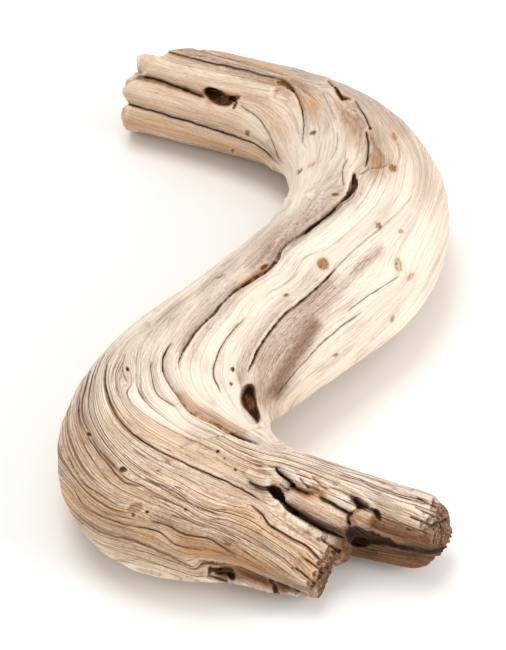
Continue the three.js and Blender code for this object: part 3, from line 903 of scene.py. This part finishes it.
class Surface:
    """The wood's points, and where each of them lies in the photograph and in the grain."""

    def __init__(self, mesh, stage, field):
        self.points, self.normals = points_and_normals(mesh)
        self.grain = Grain(self.points)
        eye, back = (np.array(vector) for vector in viewpoint(stage))
        pixels = in_photograph(stage, self.points)
        flat = np.concatenate([pixels / WOBBLE_LENGTH, np.zeros((len(pixels), 1))], 1)
        self.pixels = pixels + WOBBLE * np.stack([wander(flat, seed) for seed in WOBBLE_SEEDS], 1)
        facing, outward = self.normals @ back, self.grain.outward @ back
        self.shown = smooth_step(0.0, 0.28, 0.5 * facing + 0.5 * outward)
        self.near_side = np.maximum(smooth_step(-0.3, 0.0, outward), smooth_step(0.05, 0.2, facing))
        self.turned_away = smooth_step(0.1, -0.3, facing)
        toward = eye / MM - self.points
        toward /= np.linalg.norm(toward, axis=1)[:, None]
        open_to = smooth_step(0.2, 0.6, (self.normals * toward).sum(1))[:, None]
        self.lifted = open_to * toward + (1 - open_to) * self.normals
        self.lifted /= np.linalg.norm(self.lifted, axis=1)[:, None]
        self.fibre = read_map(field, pixels)
        middle = curve_through(MIDDLE_LINE, STEP)
        nearest = nearest_on(middle, pixels)
        past = ((pixels - middle[nearest]) * headings(middle)[nearest]).sum(1)
        self.run = (nearest * STEP + past) * PIXEL
        angle = np.arctan2(self.grain.across, -self.grain.upward)
        self.unrolled = np.stack([self.grain.along, angle * ROUND], 1)

    def shown_pattern(self, name):
        """A random pattern that runs with the grain as the photograph shows it."""
        length, breadth, seed = PATTERNS[name]
        return wander(np.stack([self.run / length, self.fibre / breadth, np.zeros(len(self.run))], 1), seed)

    def pith_pattern(self, name, apart=0):
        """A random pattern that runs along the pith."""
        length, breadth, seed = PATTERNS[name]
        grain = self.grain
        place = np.stack([grain.along / length, grain.across / breadth, grain.upward / breadth], 1)
        return wander(place, seed + apart)

    def pattern(self, name):
        """A random pattern that runs with the grain, shown side and hidden side joined."""
        return (self.shown * self.shown_pattern(name)
                + (1 - self.shown) * self.pith_pattern(name, HIDDEN_SEED))


def hidden_cracks(count):
    """Cracks for the sides that the photograph doesn't show, with their paths along and round the pith."""
    random = np.random.default_rng(HIDDEN_CRACK_SEED)
    for limb, share in HIDDEN_SHARES.items():
        line = curve_through(LIMBS[limb], 2.0)
        length = np.linalg.norm(np.diff(line[:, :3], axis=0), axis=1).sum()
        for _ in range(int(count * share)):
            run = random.uniform(25, 130)
            start = random.uniform(-10, max(1.0, length - 0.6 * run))
            turn = random.uniform(-125, 125)
            steps = np.arange(0, run, 5.0)
            sway = np.cumsum(random.normal(0, 0.55, len(steps))) + 0.04 * random.normal() * steps
            path = np.stack([LIMB_APART * limb + start + steps, turn + sway], 1)
            width = random.uniform(0.6, 1.8)
            left, right = (random.uniform(0.2, 1.6), 5.0), (random.uniform(0.2, 1.6), 5.0)
            yield path, Crack([], 0, width, width * 1.3, left, right, random.uniform(0.6, 1.0))


def taper_of(along, share):
    """How a crack narrows to nothing over the given share of it at either end."""
    return np.clip(np.minimum(along, 1 - along) / share, 0.0, 1) ** 0.6


def crack_shapes(surface, shape):
    """Each crack with the points near it: indices, distance in millimetres, way along, taper and side."""
    for crack in CRACKS.values():
        reach = 2.4 * max(crack.left[1], crack.right[1]) / PIXEL
        near, gap, along, side = beside(surface.pixels, curve_through(crack.line, 5.0), reach)
        yield crack, near, gap * PIXEL, along, taper_of(along, 0.1) * surface.near_side[near], side
    for path, crack in hidden_cracks(shape.hidden_cracks):
        near, gap, along, side = beside(surface.unrolled, path, 12)
        yield crack, near, gap, along, taper_of(along, 0.15) * (1 - surface.shown[near]), side


def fall_beside(crack, side):
    """How far the wood falls on each point's side of a crack, and within what distance."""
    return (np.where(side > 0, right, left) for left, right in zip(crack.left, crack.right))


def hidden_knots(count):
    """Knots for the sides that the photograph doesn't show, placed along and round the trunk's pith."""
    random = np.random.default_rng(HIDDEN_KNOT_SEED)
    for _ in range(count):
        size = random.uniform(2.0, 8.0)
        yield Knot((random.uniform(20, 540), random.uniform(-115, 115)),
                   size, size * random.uniform(0.5, 0.9), 0.25 * size,
                   random.uniform(-25, 25), random.uniform(0.4, 0.9), random.uniform(0.1, 0.9))


def holes_on(surface):
    """Each hole with the points near it, as marks_on gives them."""
    for hole in HOLES.values():
        outline = curve_through(hole.outline + hole.outline[:1], STEP)
        low, high = outline.min(0) - HOLE_MARGIN, outline.max(0) + HOLE_MARGIN
        near = np.flatnonzero(((surface.pixels > low) & (surface.pixels < high)).all(1))
        p = surface.pixels[near]
        gap, inside = np.full(len(near), np.inf), np.zeros(len(near), bool)
        for start, end in zip(outline[:-1], outline[1:]):
            side = end - start
            t = np.clip((p - start) @ side / max(side @ side, TINY), 0, 1)
            gap = np.minimum(gap, np.linalg.norm(p - start - t[:, None] * side, axis=1))
            level = (p[:, 1] - start[1]) / (side[1] or TINY)
            inside ^= ((start[1] > p[:, 1]) != (end[1] > p[:, 1])) & (p[:, 0] < start[0] + level * side[0])
        edge = np.where(inside, -gap, gap) * PIXEL
        yield hole, near, edge, smooth_step(0.4, -1.2, edge), surface.near_side[near]


def marks_on(surface, shape):
    """Each knot and hole with the points near it.

    With it go the points' indices, their distance outside its edge in millimetres, how far each has sunk
    and how much of it shows.
    """
    yield from holes_on(surface)
    seen_knots = (surface.pixels, PIXEL, surface.near_side, KNOTS.values())
    other_knots = (surface.unrolled, 1.0, 1 - surface.shown, hidden_knots(shape.hidden_knots))
    for places, scale, seen, knots in (seen_knots, other_knots):
        for knot in knots:
            away = (places - np.array(knot.at)) * scale
            near = np.flatnonzero((np.abs(away) < 2.2 * max(knot.length, knot.breadth)).all(1))
            turn = math.radians(knot.turn)
            u = away[near, 0] * math.cos(turn) + away[near, 1] * math.sin(turn)
            v = away[near, 1] * math.cos(turn) - away[near, 0] * math.sin(turn)
            off = np.hypot(u / (knot.length / 2), v / (knot.breadth / 2))
            yield knot, near, (off - 1) * 0.5 * knot.breadth, smooth_step(1.1, 0.7, off), seen[near]


def stains_on(surface):
    """How strong each kind of stain is at each point."""
    stains = {kind: np.zeros(len(surface.points)) for kind in STAINS}
    for kind, marks in STAINS.items():
        for line, breadth, strength in marks.values():
            near, gap, _, _ = beside(surface.pixels, curve_through(line, 8.0), 2.5 * breadth / PIXEL)
            amount = strength * np.exp(-(gap * PIXEL / breadth) ** 2) * surface.near_side[near]
            stains[kind][near] = np.maximum(stains[kind][near], amount)
    return stains


def ends_of_limbs(surface):
    """For each point, the nearest broken end's figures, how near it is and which way its fibres point."""
    grain = surface.grain
    at_start = (grain.limb == 0) & (grain.to_start < grain.to_end)
    figures = np.where(at_start[:, None], np.array(UPPER_END), np.array(TORN_ENDS)[grain.limb])
    off = np.where(at_start, grain.to_start, grain.to_end)
    return *figures.T, off, grain.direction * np.where(at_start, -1, 1)[:, None]


def move_points(wood, surface, shift):
    """Moves the wood's points by so many millimetres, and keeps its resting flats on the floor."""
    moved = surface.points + shift
    resting = surface.points[:, 2] < 0.3
    moved[:, 2] = np.where(resting, 0, np.maximum(moved[:, 2], 0.02))
    wood.data.vertices.foreach_set("co", (moved * MM).astype(np.float32).ravel())
    wood.data.update()


def carve_forms(wood, shape, stage, field):
    """The large shapes: strands that lie over each other, wide gaps, holes, broad flutes and torn ends."""
    surface = Surface(wood.data, stage, field)
    stains = stains_on(surface)
    lift = np.zeros(len(surface.points))
    for crack, near, gap, along, taper, side in crack_shapes(surface, shape):
        fall, within = fall_beside(crack, side)
        lift[near] -= taper * fall * (1 - crack.fade * along) * np.exp(-gap / within)
        if crack.width > WIDE_CRACK:
            lift[near] -= taper * crack.depth * smooth_step(1.2, 0.5, gap / (0.5 * crack.width))
    for mark, near, edge, sunk, seen in marks_on(surface, shape):
        if mark.depth > DEEP_MARK:
            lift[near] += seen * (0.3 * hump(edge, 0.8, 0.8) - mark.depth * sunk)
    flutes = surface.pattern("broad flutes") + 0.5 * surface.pattern("flutes")
    swell = shape.flutes / MM * 0.75 * flutes * np.where(surface.shown > 0.5, 0.8, 1.2)
    swell += 1.3 * stains["rough"] * (surface.pattern("lumps") + 0.3 * surface.pattern("small lumps"))
    rough, slant, _, off, out = ends_of_limbs(surface)
    fibres = surface.pith_pattern("end fibres") + 0.6 * surface.pith_pattern("fine end fibres")
    lean = smooth_step(-6, 10, surface.grain.upward * np.where(slant < 0, -1, 1))
    longer = rough * fibres * smooth_step(10, 1, off) - np.abs(slant) * lean * smooth_step(24, 0, off)
    longer -= 9 * stains["short"] * smooth_step(14, 5, off)
    shift = surface.lifted * lift[:, None] + surface.normals * swell[:, None] + out * longer[:, None]
    move_points(wood, surface, shift)


def keep_on_points(mesh, name, *columns):
    """Stores up to three numbers for each point of the mesh, for the material to read."""
    values = np.zeros((len(mesh.vertices), 3), np.float32)
    for index, column in enumerate(columns):
        values[:, index] = column
    mesh.attributes.new(name, "FLOAT_VECTOR", "POINT").data.foreach_set("vector", values.ravel())


def hollows(mesh, near, far):
    """How far each point lies below the wood close by and further round it, in millimetres."""
    points, normals = points_and_normals(mesh)
    ends = np.zeros(len(mesh.edges) * 2, np.int32)
    mesh.edges.foreach_get("vertices", ends)
    a, b, count = ends[::2], ends[1::2], len(points)
    share = np.bincount(a, minlength=count) + np.bincount(b, minlength=count)
    eased, found = points, []
    for number in range(1, far + 1):
        eased = np.stack([np.bincount(a, eased[b, k], count) + np.bincount(b, eased[a, k], count)
                          for k in range(3)], 1) / share[:, None]
        if number in (near, far):
            found.append(((eased - points) * normals).sum(1))
    return found


def none_near(count):
    """Three columns for the nearest mark's figures, before any is found."""
    return [np.full(count, NONE_NEAR), np.zeros(count), np.zeros(count)]


def cut_cracks(surface, shape, lift, stains):
    """Cuts the narrower cracks and gathers the painted shade and grime beside them.

    It gives each point's distance from the nearest dark and the nearest faint crack, with the crack's half
    width and shade there.
    """
    dark_lines, faint_lines = none_near(len(lift)), none_near(len(lift))
    for number, (crack, near, gap, along, taper, side) in enumerate(crack_shapes(surface, shape)):
        if crack.width <= WIDE_CRACK:
            groove = np.clip(1.3 - gap / max(0.5 * crack.width, 0.75), 0, 1)
            lift[near] -= taper * min(crack.depth, 2.2) * min(1.0, 0.3 + 0.5 * crack.width) * groove
        fall, within = fall_beside(crack, side)
        # Painted shade, partly grime: darker on the side that falls towards the crack and just beside its
        # opening
        painted_shade_and_grime = taper * (0.4 * np.minimum(fall / 5, 1) * np.exp(-gap / (0.4 * within))
                         + 0.25 * crack.shade * np.exp(-(gap / (0.3 + 0.5 * crack.width)) ** 2))
        stains["dirt_and_shade"][near] = np.maximum(stains["dirt_and_shade"][near], painted_shade_and_grime)
        lines = dark_lines if crack.shade > DARK_CRACK else faint_lines
        closer = gap < np.abs(lines[0][near])
        pick = near[closer]
        lines[0][pick] = (np.where(side < 0, -1, 1) * gap)[closer]
        sway = wander(np.stack([along * len(crack.line) * 1.7, gap * 0, gap * 0 + number], 1), SWAY_SEED)
        half = 0.31 * crack.width * taper * (0.85 + 0.4 * sway) * smooth_step(3.2, 2.0, gap)
        lines[1][pick] = half[closer]
        lines[2][pick] = crack.shade
    return dark_lines, faint_lines


def cut_knots(surface, shape, lift):
    """Cuts the shallow knots, and gives each point's distance outside the nearest mark, and its colours."""
    knots = none_near(len(lift))
    for mark, near, edge, sunk, seen in marks_on(surface, shape):
        if mark.depth <= DEEP_MARK:
            lift[near] += seen * (0.2 * hump(edge, 0.6, 0.6) - 1.2 * mark.depth * sunk)
        edge = edge + NONE_NEAR * (1 - seen)
        closer = edge < np.maximum(knots[0][near], 0.2)
        for column, value in enumerate((edge[closer], mark.dark, mark.brown)):
            knots[column][near[closer]] = value
    return knots


def carve_grain(wood, shape, stage, field):
    """The fine work along the grain, and what the material needs to know at each point."""
    surface = Surface(wood.data, stage, field)
    stains = stains_on(surface)
    lift = np.zeros(len(surface.points))
    dark_lines, faint_lines = cut_cracks(surface, shape, lift, stains)
    knots = cut_knots(surface, shape, lift)

    lined = np.maximum(stains["lined"], 0.12 + 0.45 * (1 - surface.shown)) * (1 - 0.9 * stains["smooth"])
    layer = (surface.fibre / LAYER_FIBRES + 0.8 * surface.shown_pattern("layer sway")
             + 0.3 * surface.shown_pattern("layer turns") + 0.06 * surface.shown_pattern("layer nicks"))
    patches = smooth_step(-0.5, 0.5, surface.shown_pattern("layer patches") + 0.3)
    present = surface.shown * lined * patches
    step = layer - np.floor(layer)
    terrace = np.where(step < LAYER_EDGE, step / LAYER_EDGE, (1 - step) / (1 - LAYER_EDGE)) - 0.5
    ridge = 0.5 - np.abs(surface.pattern("ridges"))
    furrow = surface.pattern("furrows")
    lift += (shape.layers / MM * terrace * present
             + shape.furrows / MM * (0.2 + 0.8 * lined) * (1.4 * ridge + furrow))
    _, _, brown, off, out = ends_of_limbs(surface)
    across = smooth_step(0.3, 0.75, (surface.normals * out).sum(1)) * smooth_step(22, 12, off)
    torn = brown * across
    fibres = surface.pith_pattern("finest end fibres")
    move_points(wood, surface, surface.lifted * lift[:, None] + out * (0.9 * torn * fibres)[:, None])

    shelter = smooth_step(0.35, -0.6, surface.normals[:, 2]) * smooth_step(75, 15, surface.points[:, 2])
    shelter *= surface.turned_away
    mesh = wood.data
    # How far each point lies below the wood round it; the material paints shade in the hollows and a
    # highlight on the ridges from it
    close_by, further = hollows(mesh, NEAR_ROUNDS, FAR_ROUNDS)
    # The third column is painted shade, from the dark stains
    keep_on_points(mesh, "hollows", close_by, further * (1 - stains["smooth"]), stains["dark"])
    keep_on_points(mesh, "flow", surface.run, surface.fibre, surface.shown * (1 - across))
    keep_on_points(mesh, "pith", surface.grain.along, surface.grain.across, surface.grain.upward)
    keep_on_points(mesh, "layers", layer, present, ridge + 0.5 * furrow)
    keep_on_points(mesh, "dark_cracks", *dark_lines)
    keep_on_points(mesh, "faint_cracks", *faint_lines)
    keep_on_points(mesh, "knots", *knots)
    tan = np.maximum(stains["tan"], 0.8 * shelter)
    keep_on_points(mesh, "stains", stains["grey"], tan, stains["orange"])
    # First column: dirt, with painted shade beside the cracks and in the gaps
    keep_on_points(mesh, "wear_and_shade", np.clip(stains["dirt_and_shade"], 0, 1), torn, lined)


def finish_with(wood, kind, **settings):
    """Adds one modifier to the wood and applies it."""
    modifier = wood.modifiers.new(kind.title(), kind)
    for name, value in settings.items():
        setattr(modifier, name, value)
    bpy.ops.object.modifier_apply(modifier=modifier.name)


def new_skin(wood, spacing, rounds):
    """Gives the wood one even skin, softened so many times."""
    finish_with(wood, "REMESH", mode="VOXEL", voxel_size=spacing, adaptivity=0)
    finish_with(wood, "SMOOTH", factor=0.5, iterations=rounds)


def line_of_sight(stage, x, y):
    """The direction from the camera through a pixel of the photograph."""
    _, back = viewpoint(stage)
    focal = focal_pixels(stage)
    return (RIGHT * ((x - PHOTO_WIDE / 2) / focal) - back
            + back.cross(RIGHT) * ((PHOTO_HIGH / 2 - y) / focal)).normalized()


def strand_middles(strand, tree, stage):
    """The middle of a bundle of fibres at each step along it, in metres, with its radius in millimetres."""
    eye, _ = viewpoint(stage)
    sights, found = [], []
    for x, y, radius in curve_through(strand.line, STRAND_STEP):
        sight = line_of_sight(stage, x, y)
        sights.append((sight, radius))
        found.append(tree.ray_cast(eye, sight))
    hits = [number for number, hit in enumerate(found) if hit[0] is not None]
    middles = []
    for number, (sight, radius) in enumerate(sights):
        nearest = min(hits, key=lambda hit: abs(hit - number))
        _, normal, _, distance = found[nearest]
        middles.append((*(eye + sight * distance - normal * (radius - strand.proud) * MM), radius))
    middles = np.array(middles)
    middles[1:-1] = (middles[:-2] + middles[1:-1] + middles[2:]) / 3
    return middles


def round_bundle(name, middles):
    """A rod through the given middles, as thick as their radii say."""
    curve = bpy.data.curves.new(name, "CURVE")
    curve.dimensions = "3D"
    curve.bevel_depth = MM
    curve.bevel_resolution = 3
    curve.use_fill_caps = True
    spline = curve.splines.new("POLY")
    spline.points.add(len(middles) - 1)
    for point, (x, y, z, radius) in zip(spline.points, middles):
        point.co = (x, y, z, 1)
        point.radius = radius
    bundle = bpy.data.objects.new(name, curve)
    bpy.context.scene.collection.objects.link(bundle)
    return bundle


def lay_strands(wood, stage):
    """Lays each bundle of fibres on the wood where the photograph shows it."""
    tree = BVHTree.FromObject(wood, bpy.context.evaluated_depsgraph_get())
    bundles = [round_bundle(name, strand_middles(strand, tree, stage)) for name, strand in STRANDS.items()]
    bpy.ops.object.select_all(action="DESELECT")
    for bundle in bundles:
        bundle.select_set(True)
    bpy.context.view_layer.objects.active = bundles[0]
    bpy.ops.object.convert(target="MESH")
    wood.select_set(True)
    bpy.context.view_layer.objects.active = wood
    bpy.ops.object.join()


def rough_branch(shape, stage):
    """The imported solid's shape, softened, with its raised strands, as one even skin."""
    bpy.ops.object.select_all(action="DESELECT")
    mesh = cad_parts["driftwood"].data.copy()
    mesh.materials.clear()
    wood = bpy.data.objects.new("driftwood_branch", mesh)
    bpy.context.scene.collection.objects.link(wood)
    wood.select_set(True)
    bpy.context.view_layer.objects.active = wood
    bpy.ops.object.mode_set(mode="EDIT")
    bpy.ops.mesh.select_all(action="SELECT")
    bpy.ops.mesh.remove_doubles(threshold=0.01 * MM)
    bpy.ops.object.mode_set(mode="OBJECT")
    new_skin(wood, shape.detail * 1.3, 6)
    lay_strands(wood, stage)
    new_skin(wood, shape.detail, 1)
    return wood


def driftwood_material(colours):
    """Sun-bleached driftwood: dry, matt fibres in fine lines, silvered and stained, with painted shade in
    its cracks, hollows and gaps and a painted highlight on its ridges.
    """
    material = bpy.data.materials.new("weathered driftwood")
    material.use_nodes = True
    tree = material.node_tree
    tree.nodes.clear()

    def add(kind, inputs=None, out=0, **settings):
        """Adds one node: its settings by name, and for each input a value or the output that feeds it."""
        node = tree.nodes.new(kind)
        for name, value in settings.items():
            setattr(node, name, value)
        for key, value in (inputs or {}).items():
            if isinstance(value, bpy.types.NodeSocket):
                tree.links.new(value, node.inputs[key])
            else:
                node.inputs[key].default_value = value
        return node.outputs[out]

    kept = {}
    for name in ("flow", "pith", "layers", "stains", "wear_and_shade", "hollows", "knots",
                 "dark_cracks", "faint_cracks"):
        vector = add("ShaderNodeAttribute", out=1, attribute_name=name)
        kept[name] = [vector, *add("ShaderNodeSeparateXYZ", {0: vector}).node.outputs]
    flow, _, _, shown = kept["flow"]
    pith = kept["pith"][0]
    _, layer, present, relief = kept["layers"]
    _, grey, tan, orange = kept["stains"]
    _, dirt_and_shade, torn, lined = kept["wear_and_shade"]
    _, hollow, deep, painted_gap_shade = kept["hollows"]
    _, rim, dark, brown = kept["knots"]

    patterns = []
    for length, breadth, detail, roughness in STREAKS.values():
        found = []
        for place, depth in ((pith, 1 / breadth), (flow, 0)):
            at = add("ShaderNodeMapping", {"Vector": place, "Scale": (1 / length, 1 / breadth, depth)})
            found.append(add("ShaderNodeTexNoise", {
                "Vector": at, "Scale": 1.0, "Detail": detail, "Roughness": roughness}))
        patterns.append(add("ShaderNodeMix", {0: shown, 2: found[0], 3: found[1]}, data_type="FLOAT"))
    broad, streaks, fine, grit, blotch, hairs, specks, dots = patterns

    varied = add("ShaderNodeMapRange", {0: broad, 1: 0.3, 2: 0.7, 3: -0.1, 4: 0.22})
    toned = add("ShaderNodeMath", {0: tan, 1: varied}, operation="ADD", use_clamp=True)
    step = add("ShaderNodeMath", {0: layer}, operation="FRACT")
    narrow = add("ShaderNodeMath", {0: layer, 1: 3.1}, operation="MULTIPLY")
    narrow = add("ShaderNodeMath", {0: narrow}, operation="FRACT")
    apart = add("ShaderNodeMath", {0: hairs, 1: 0.5}, operation="SUBTRACT")
    apart = add("ShaderNodeMath", {0: apart}, operation="ABSOLUTE")
    rim = add("ShaderNodeMath", {0: specks, 1: 3.0, 2: rim}, operation="MULTIPLY_ADD")
    stained = add("ShaderNodeMath", {0: brown, 1: dark}, operation="MAXIMUM")
    # Each crack's painted shade: a dark line along it, as wide as its opening
    cracks = []
    for name in ("dark_cracks", "faint_cracks"):
        _, gap, half, shade = kept[name]
        gap = add("ShaderNodeMath", {0: gap}, operation="ABSOLUTE")
        opening = add("ShaderNodeMath", {0: half, 1: gap}, operation="SUBTRACT")
        cracks.append(("crack", 1, (opening, 0, 0.25, 0, 1), (shade, 0, 1, 0, 1)))

    # Each layer over the wood: its colour, how deep it cuts, and what it depends on, as a value with its
    # range and how much of the colour there is at either end of it
    layers = (
        # tan where it is sheltered, silvered in streaks
        ("tan", 0, (toned, 0, 1, 0, 1)),
        ("grey", 0, (grey, 0, 1, 0, 1), (streaks, 0.25, 0.6, 0.5, 1)),
        ("grey", 0, (blotch, 0.53, 0.68, 0, 0.45)),
        # darker growth lines, pale fibres and pores
        ("streak", 0, (streaks, 0.54, 0.76, 0, 0.4), (lined, 0, 1, 0.12, 1)),
        ("streak", 0, (fine, 0.51, 0.66, 0, 0.75), (lined, 0, 1, 0.12, 1)),
        ("bleached", 0, (fine, 0.46, 0.32, 0, 0.5), (toned, 0, 0.6, 0.2, 1)),
        ("streak", 0, (grit, 0.5, 0.64, 0, 0.6), (toned, 0, 0.6, 0.35, 1), (lined, 0, 0.6, 0.3, 1)),
        ("dirt_and_shade", 0, (specks, 0.58, 0.72, 0, 0.6), (grey, 0, 0.8, 0.1, 1)),
        ("dirt_and_shade", 0, (dots, 0.5, 0.66, 0, 0.35), (grey, 0, 0.9, 0.12, 1)),
        ("streak", 0, (fine, 0.5, 0.66, 0, 0.6), (grey, 0.1, 0.9, 0, 1)),
        ("bleached", 0, (dots, 0.46, 0.3, 0, 0.22), (grey, 0, 0.9, 0.1, 1)),
        ("streak", 0, (relief, 0.05, -0.6, 0, 0.35), (lined, 0, 1, 0.15, 1)),
        # fine lines along the fibres and at the edges of the layers
        ("streak", 0, (narrow, 0.72, 0.8, 0, 1), (narrow, 0.98, 0.9, 0, 1), (fine, 0.35, 0.6, 0, 0.85),
         (lined, 0.1, 0.9, 0.15, 1)),
        ("dirt_and_shade", 1, (apart, 0.024, 0.009, 0, 0.85), (lined, 0, 1, 0.2, 1)),
        ("dirt_and_shade", 1, (step, 0.83, 0.87, 0, 1), (step, 0.985, 0.95, 0, 1), (present, 0.1, 0.6, 0, 1)),
        # painted highlight on the ridges and painted shade in the hollows, partly real wear and dirt
        ("bleached", 0, (hollow, -0.1, -0.6, 0, 0.5)),
        ("dirt_and_shade", 0, (hollow, 0.08, 0.7, 0, 0.8), (grit, 0.3, 0.65, 0.6, 1)),
        ("dirt_and_shade", 0, (deep, 1.0, 4.0, 0, 0.75), (grit, 0.3, 0.65, 0.6, 1)),
        # resin, torn ends, and dirt with painted shade beside the cracks and in the gaps
        ("orange", 0, (orange, 0, 1, 0, 1), (streaks, 0.3, 0.6, 0.5, 1)),
        ("dirt_and_shade", 0, (torn, 0, 1, 0, 1), (specks, 0.3, 0.7, 0.7, 1)),
        ("tan", 0, (torn, 0, 1, 0, 0.75), (specks, 0.48, 0.32, 0, 1)),
        ("crack", 0, (torn, 0, 1, 0, 0.7), (grit, 0.46, 0.6, 0, 1)),
        ("dirt_and_shade", 0, (dirt_and_shade, 0, 0.6, 0, 0.6), (dots, 0.38, 0.62, 0.3, 1)),
        ("dirt_and_shade", 0, (dirt_and_shade, 0.3, 0.85, 0, 1), (grit, 0.3, 0.65, 0.75, 1)),
        ("orange", 0, (dirt_and_shade, 0.5, 1, 0, 0.45), (fine, 0.48, 0.34, 0, 1)),
        ("crack", 0, (dirt_and_shade, 0.5, 1, 0, 0.6), (fine, 0.54, 0.68, 0, 1)),
        # knots and holes: a tan ring, mottled brown inside, and painted shade where they are deep
        ("tan", 0, (rim, 3.8, 1.5, 0, 0.5), (brown, 0, 1, 0, 1)),
        ("orange", 0, (rim, 2.0, 1.0, 0, 0.9), (stained, 0, 1, 0, 1), (specks, 0.35, 0.6, 0.4, 1)),
        ("dirt_and_shade", 0, (rim, 1.9, 1.0, 0, 1), (stained, 0, 1, 0, 1), (grit, 0.45, 0.6, 0, 0.8)),
        ("crack", 0, (rim, 1.75, 1.0, 0, 1), (dark, 0.15, 0.8, 0, 1), (fine, 0.4, 0.6, 0.75, 1)),
        # painted shade in the gaps, then the painted shade inside the cracks
        ("crack", 0, (painted_gap_shade, 0.1, 0.85, 0, 1), (fine, 0.4, 0.6, 0.6, 1)),
        *cracks,
    )
    colour = (*colours.bleached, 1)
    height = add("ShaderNodeMath", {0: grit, 1: 0.6, 2: fine}, operation="MULTIPLY_ADD")
    for name, cut, *causes in layers:
        amount = 1.0
        for value, low, high, least, most in causes:
            part = add("ShaderNodeMapRange", {0: value, 1: low, 2: high, 3: least, 4: most})
            amount = add("ShaderNodeMath", {0: part, 1: amount}, operation="MULTIPLY")
        over = (*getattr(colours, name), 1)
        colour = add("ShaderNodeMix", {0: amount, 6: colour, 7: over}, 2, data_type="RGBA")
        if cut:
            height = add("ShaderNodeMath", {0: amount, 1: -cut, 2: height}, operation="MULTIPLY_ADD")

    bump = add("ShaderNodeBump", {"Height": height, "Strength": 0.8, "Distance": 0.45 * MM})
    surface = add("ShaderNodeBsdfPrincipled", {
        "Base Color": colour, "Roughness": 0.85, "Specular IOR Level": 0.25, "Normal": bump})
    tree.links.new(surface, tree.nodes.new("ShaderNodeOutputMaterial").inputs[0])
    return material


class DRIFTWOOD_OT_branch(bpy.types.Operator):
    """Carve the branch and give it its wood"""

    bl_idname = "driftwood.branch"
    bl_label = "Branch"

    def execute(self, context):
        shape, stage = context.scene.branch_shape, context.scene.stage_settings
        field = fibre_map()
        wood = rough_branch(shape, stage)
        carve_forms(wood, shape, stage, field)
        new_skin(wood, shape.detail, 1)
        carve_grain(wood, shape, stage, field)
        triangles = len(wood.data.polygons) * 2
        if triangles > shape.triangles:
            finish_with(wood, "DECIMATE", decimate_type="COLLAPSE", ratio=shape.triangles / triangles,
                        use_collapse_triangulate=True)
        bpy.ops.object.shade_smooth()
        wood.data.materials.clear()
        wood.data.materials.append(driftwood_material(context.scene.branch_colours))
        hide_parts("driftwood")
        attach(wood, "root")
        return {"FINISHED"}


class DRIFTWOOD_OT_stage(bpy.types.Operator):
    """Lay the floor, and set the light and the camera"""

    bl_idname = "driftwood.stage"
    bl_label = "Stage"

    def execute(self, context):
        stage = context.scene.stage_settings
        bpy.ops.object.select_all(action="DESELECT")
        bpy.ops.mesh.primitive_plane_add(size=8)
        floor = context.object
        floor.name = "studio_floor"
        paper = bpy.data.materials.new("matt studio paper")
        paper.use_nodes = True
        surface = paper.node_tree.nodes["Principled BSDF"]
        surface.inputs["Base Color"].default_value = (*stage.floor, 1)
        surface.inputs["Roughness"].default_value = 0.95
        floor.data.materials.append(paper)

        # Each lamp's name, its place, what it is aimed at and its size in metres, and its power in watts
        lamps = (
            ("overhead softbox", (-0.3, 0.25, 1.7), (0, 0, 0), 0.9, 12.7),
            ("right softbox", (1.25, -0.6, 0.6), (0, 0, 0.03), 0.7, 10.5),
        )
        for name, place, target, size, power in lamps:
            bpy.ops.object.light_add(type="AREA", location=place)
            lamp = context.object
            lamp.name = name
            lamp.data.size = size
            lamp.data.energy = power
            lamp.rotation_euler = (Vector(target) - Vector(place)).to_track_quat("-Z", "Y").to_euler()

        world = bpy.data.worlds.new("white studio")
        world.use_nodes = True
        background = world.node_tree.nodes["Background"]
        background.inputs["Color"].default_value = (1, 1, 1, 1)
        background.inputs["Strength"].default_value = 0.77
        context.scene.world = world
        context.scene.view_settings.view_transform = "Standard"

        place, back = viewpoint(stage)
        bpy.ops.object.camera_add(location=place, rotation=back.to_track_quat("Z", "Y").to_euler())
        camera = context.object
        camera.data.lens = stage.lens
        camera.data.sensor_width = SENSOR
        context.scene.camera = camera
        return {"FINISHED"}


class DRIFTWOOD_PT_panel(bpy.types.Panel):
    """The settings of the branch and the stage, with a button for each"""

    bl_idname = "DRIFTWOOD_PT_panel"
    bl_label = "Driftwood"
    bl_space_type = "VIEW_3D"
    bl_region_type = "UI"
    bl_category = "Driftwood"

    def draw(self, context):
        scene = context.scene
        for settings in (scene.branch_shape, scene.branch_colours, scene.stage_settings):
            box = self.layout.box()
            for name in settings.__annotations__:
                box.prop(settings, name)
        self.layout.operator(DRIFTWOOD_OT_branch.bl_idname)
        self.layout.operator(DRIFTWOOD_OT_stage.bl_idname)


CLASSES = (
    BranchShape, BranchColours, StageSettings, DRIFTWOOD_OT_branch, DRIFTWOOD_OT_stage, DRIFTWOOD_PT_panel,
)


def register():
    for cls in CLASSES:
        bpy.utils.register_class(cls)
    bpy.types.Scene.branch_shape = PointerProperty(type=BranchShape)
    bpy.types.Scene.branch_colours = PointerProperty(type=BranchColours)
    bpy.types.Scene.stage_settings = PointerProperty(type=StageSettings)


def unregister():
    del bpy.types.Scene.stage_settings
    del bpy.types.Scene.branch_colours
    del bpy.types.Scene.branch_shape
    for cls in reversed(CLASSES):
        bpy.utils.unregister_class(cls)


def main():
    register()
    bpy.ops.driftwood.branch()
    bpy.ops.driftwood.stage()


if __name__ == "__main__":
    main()
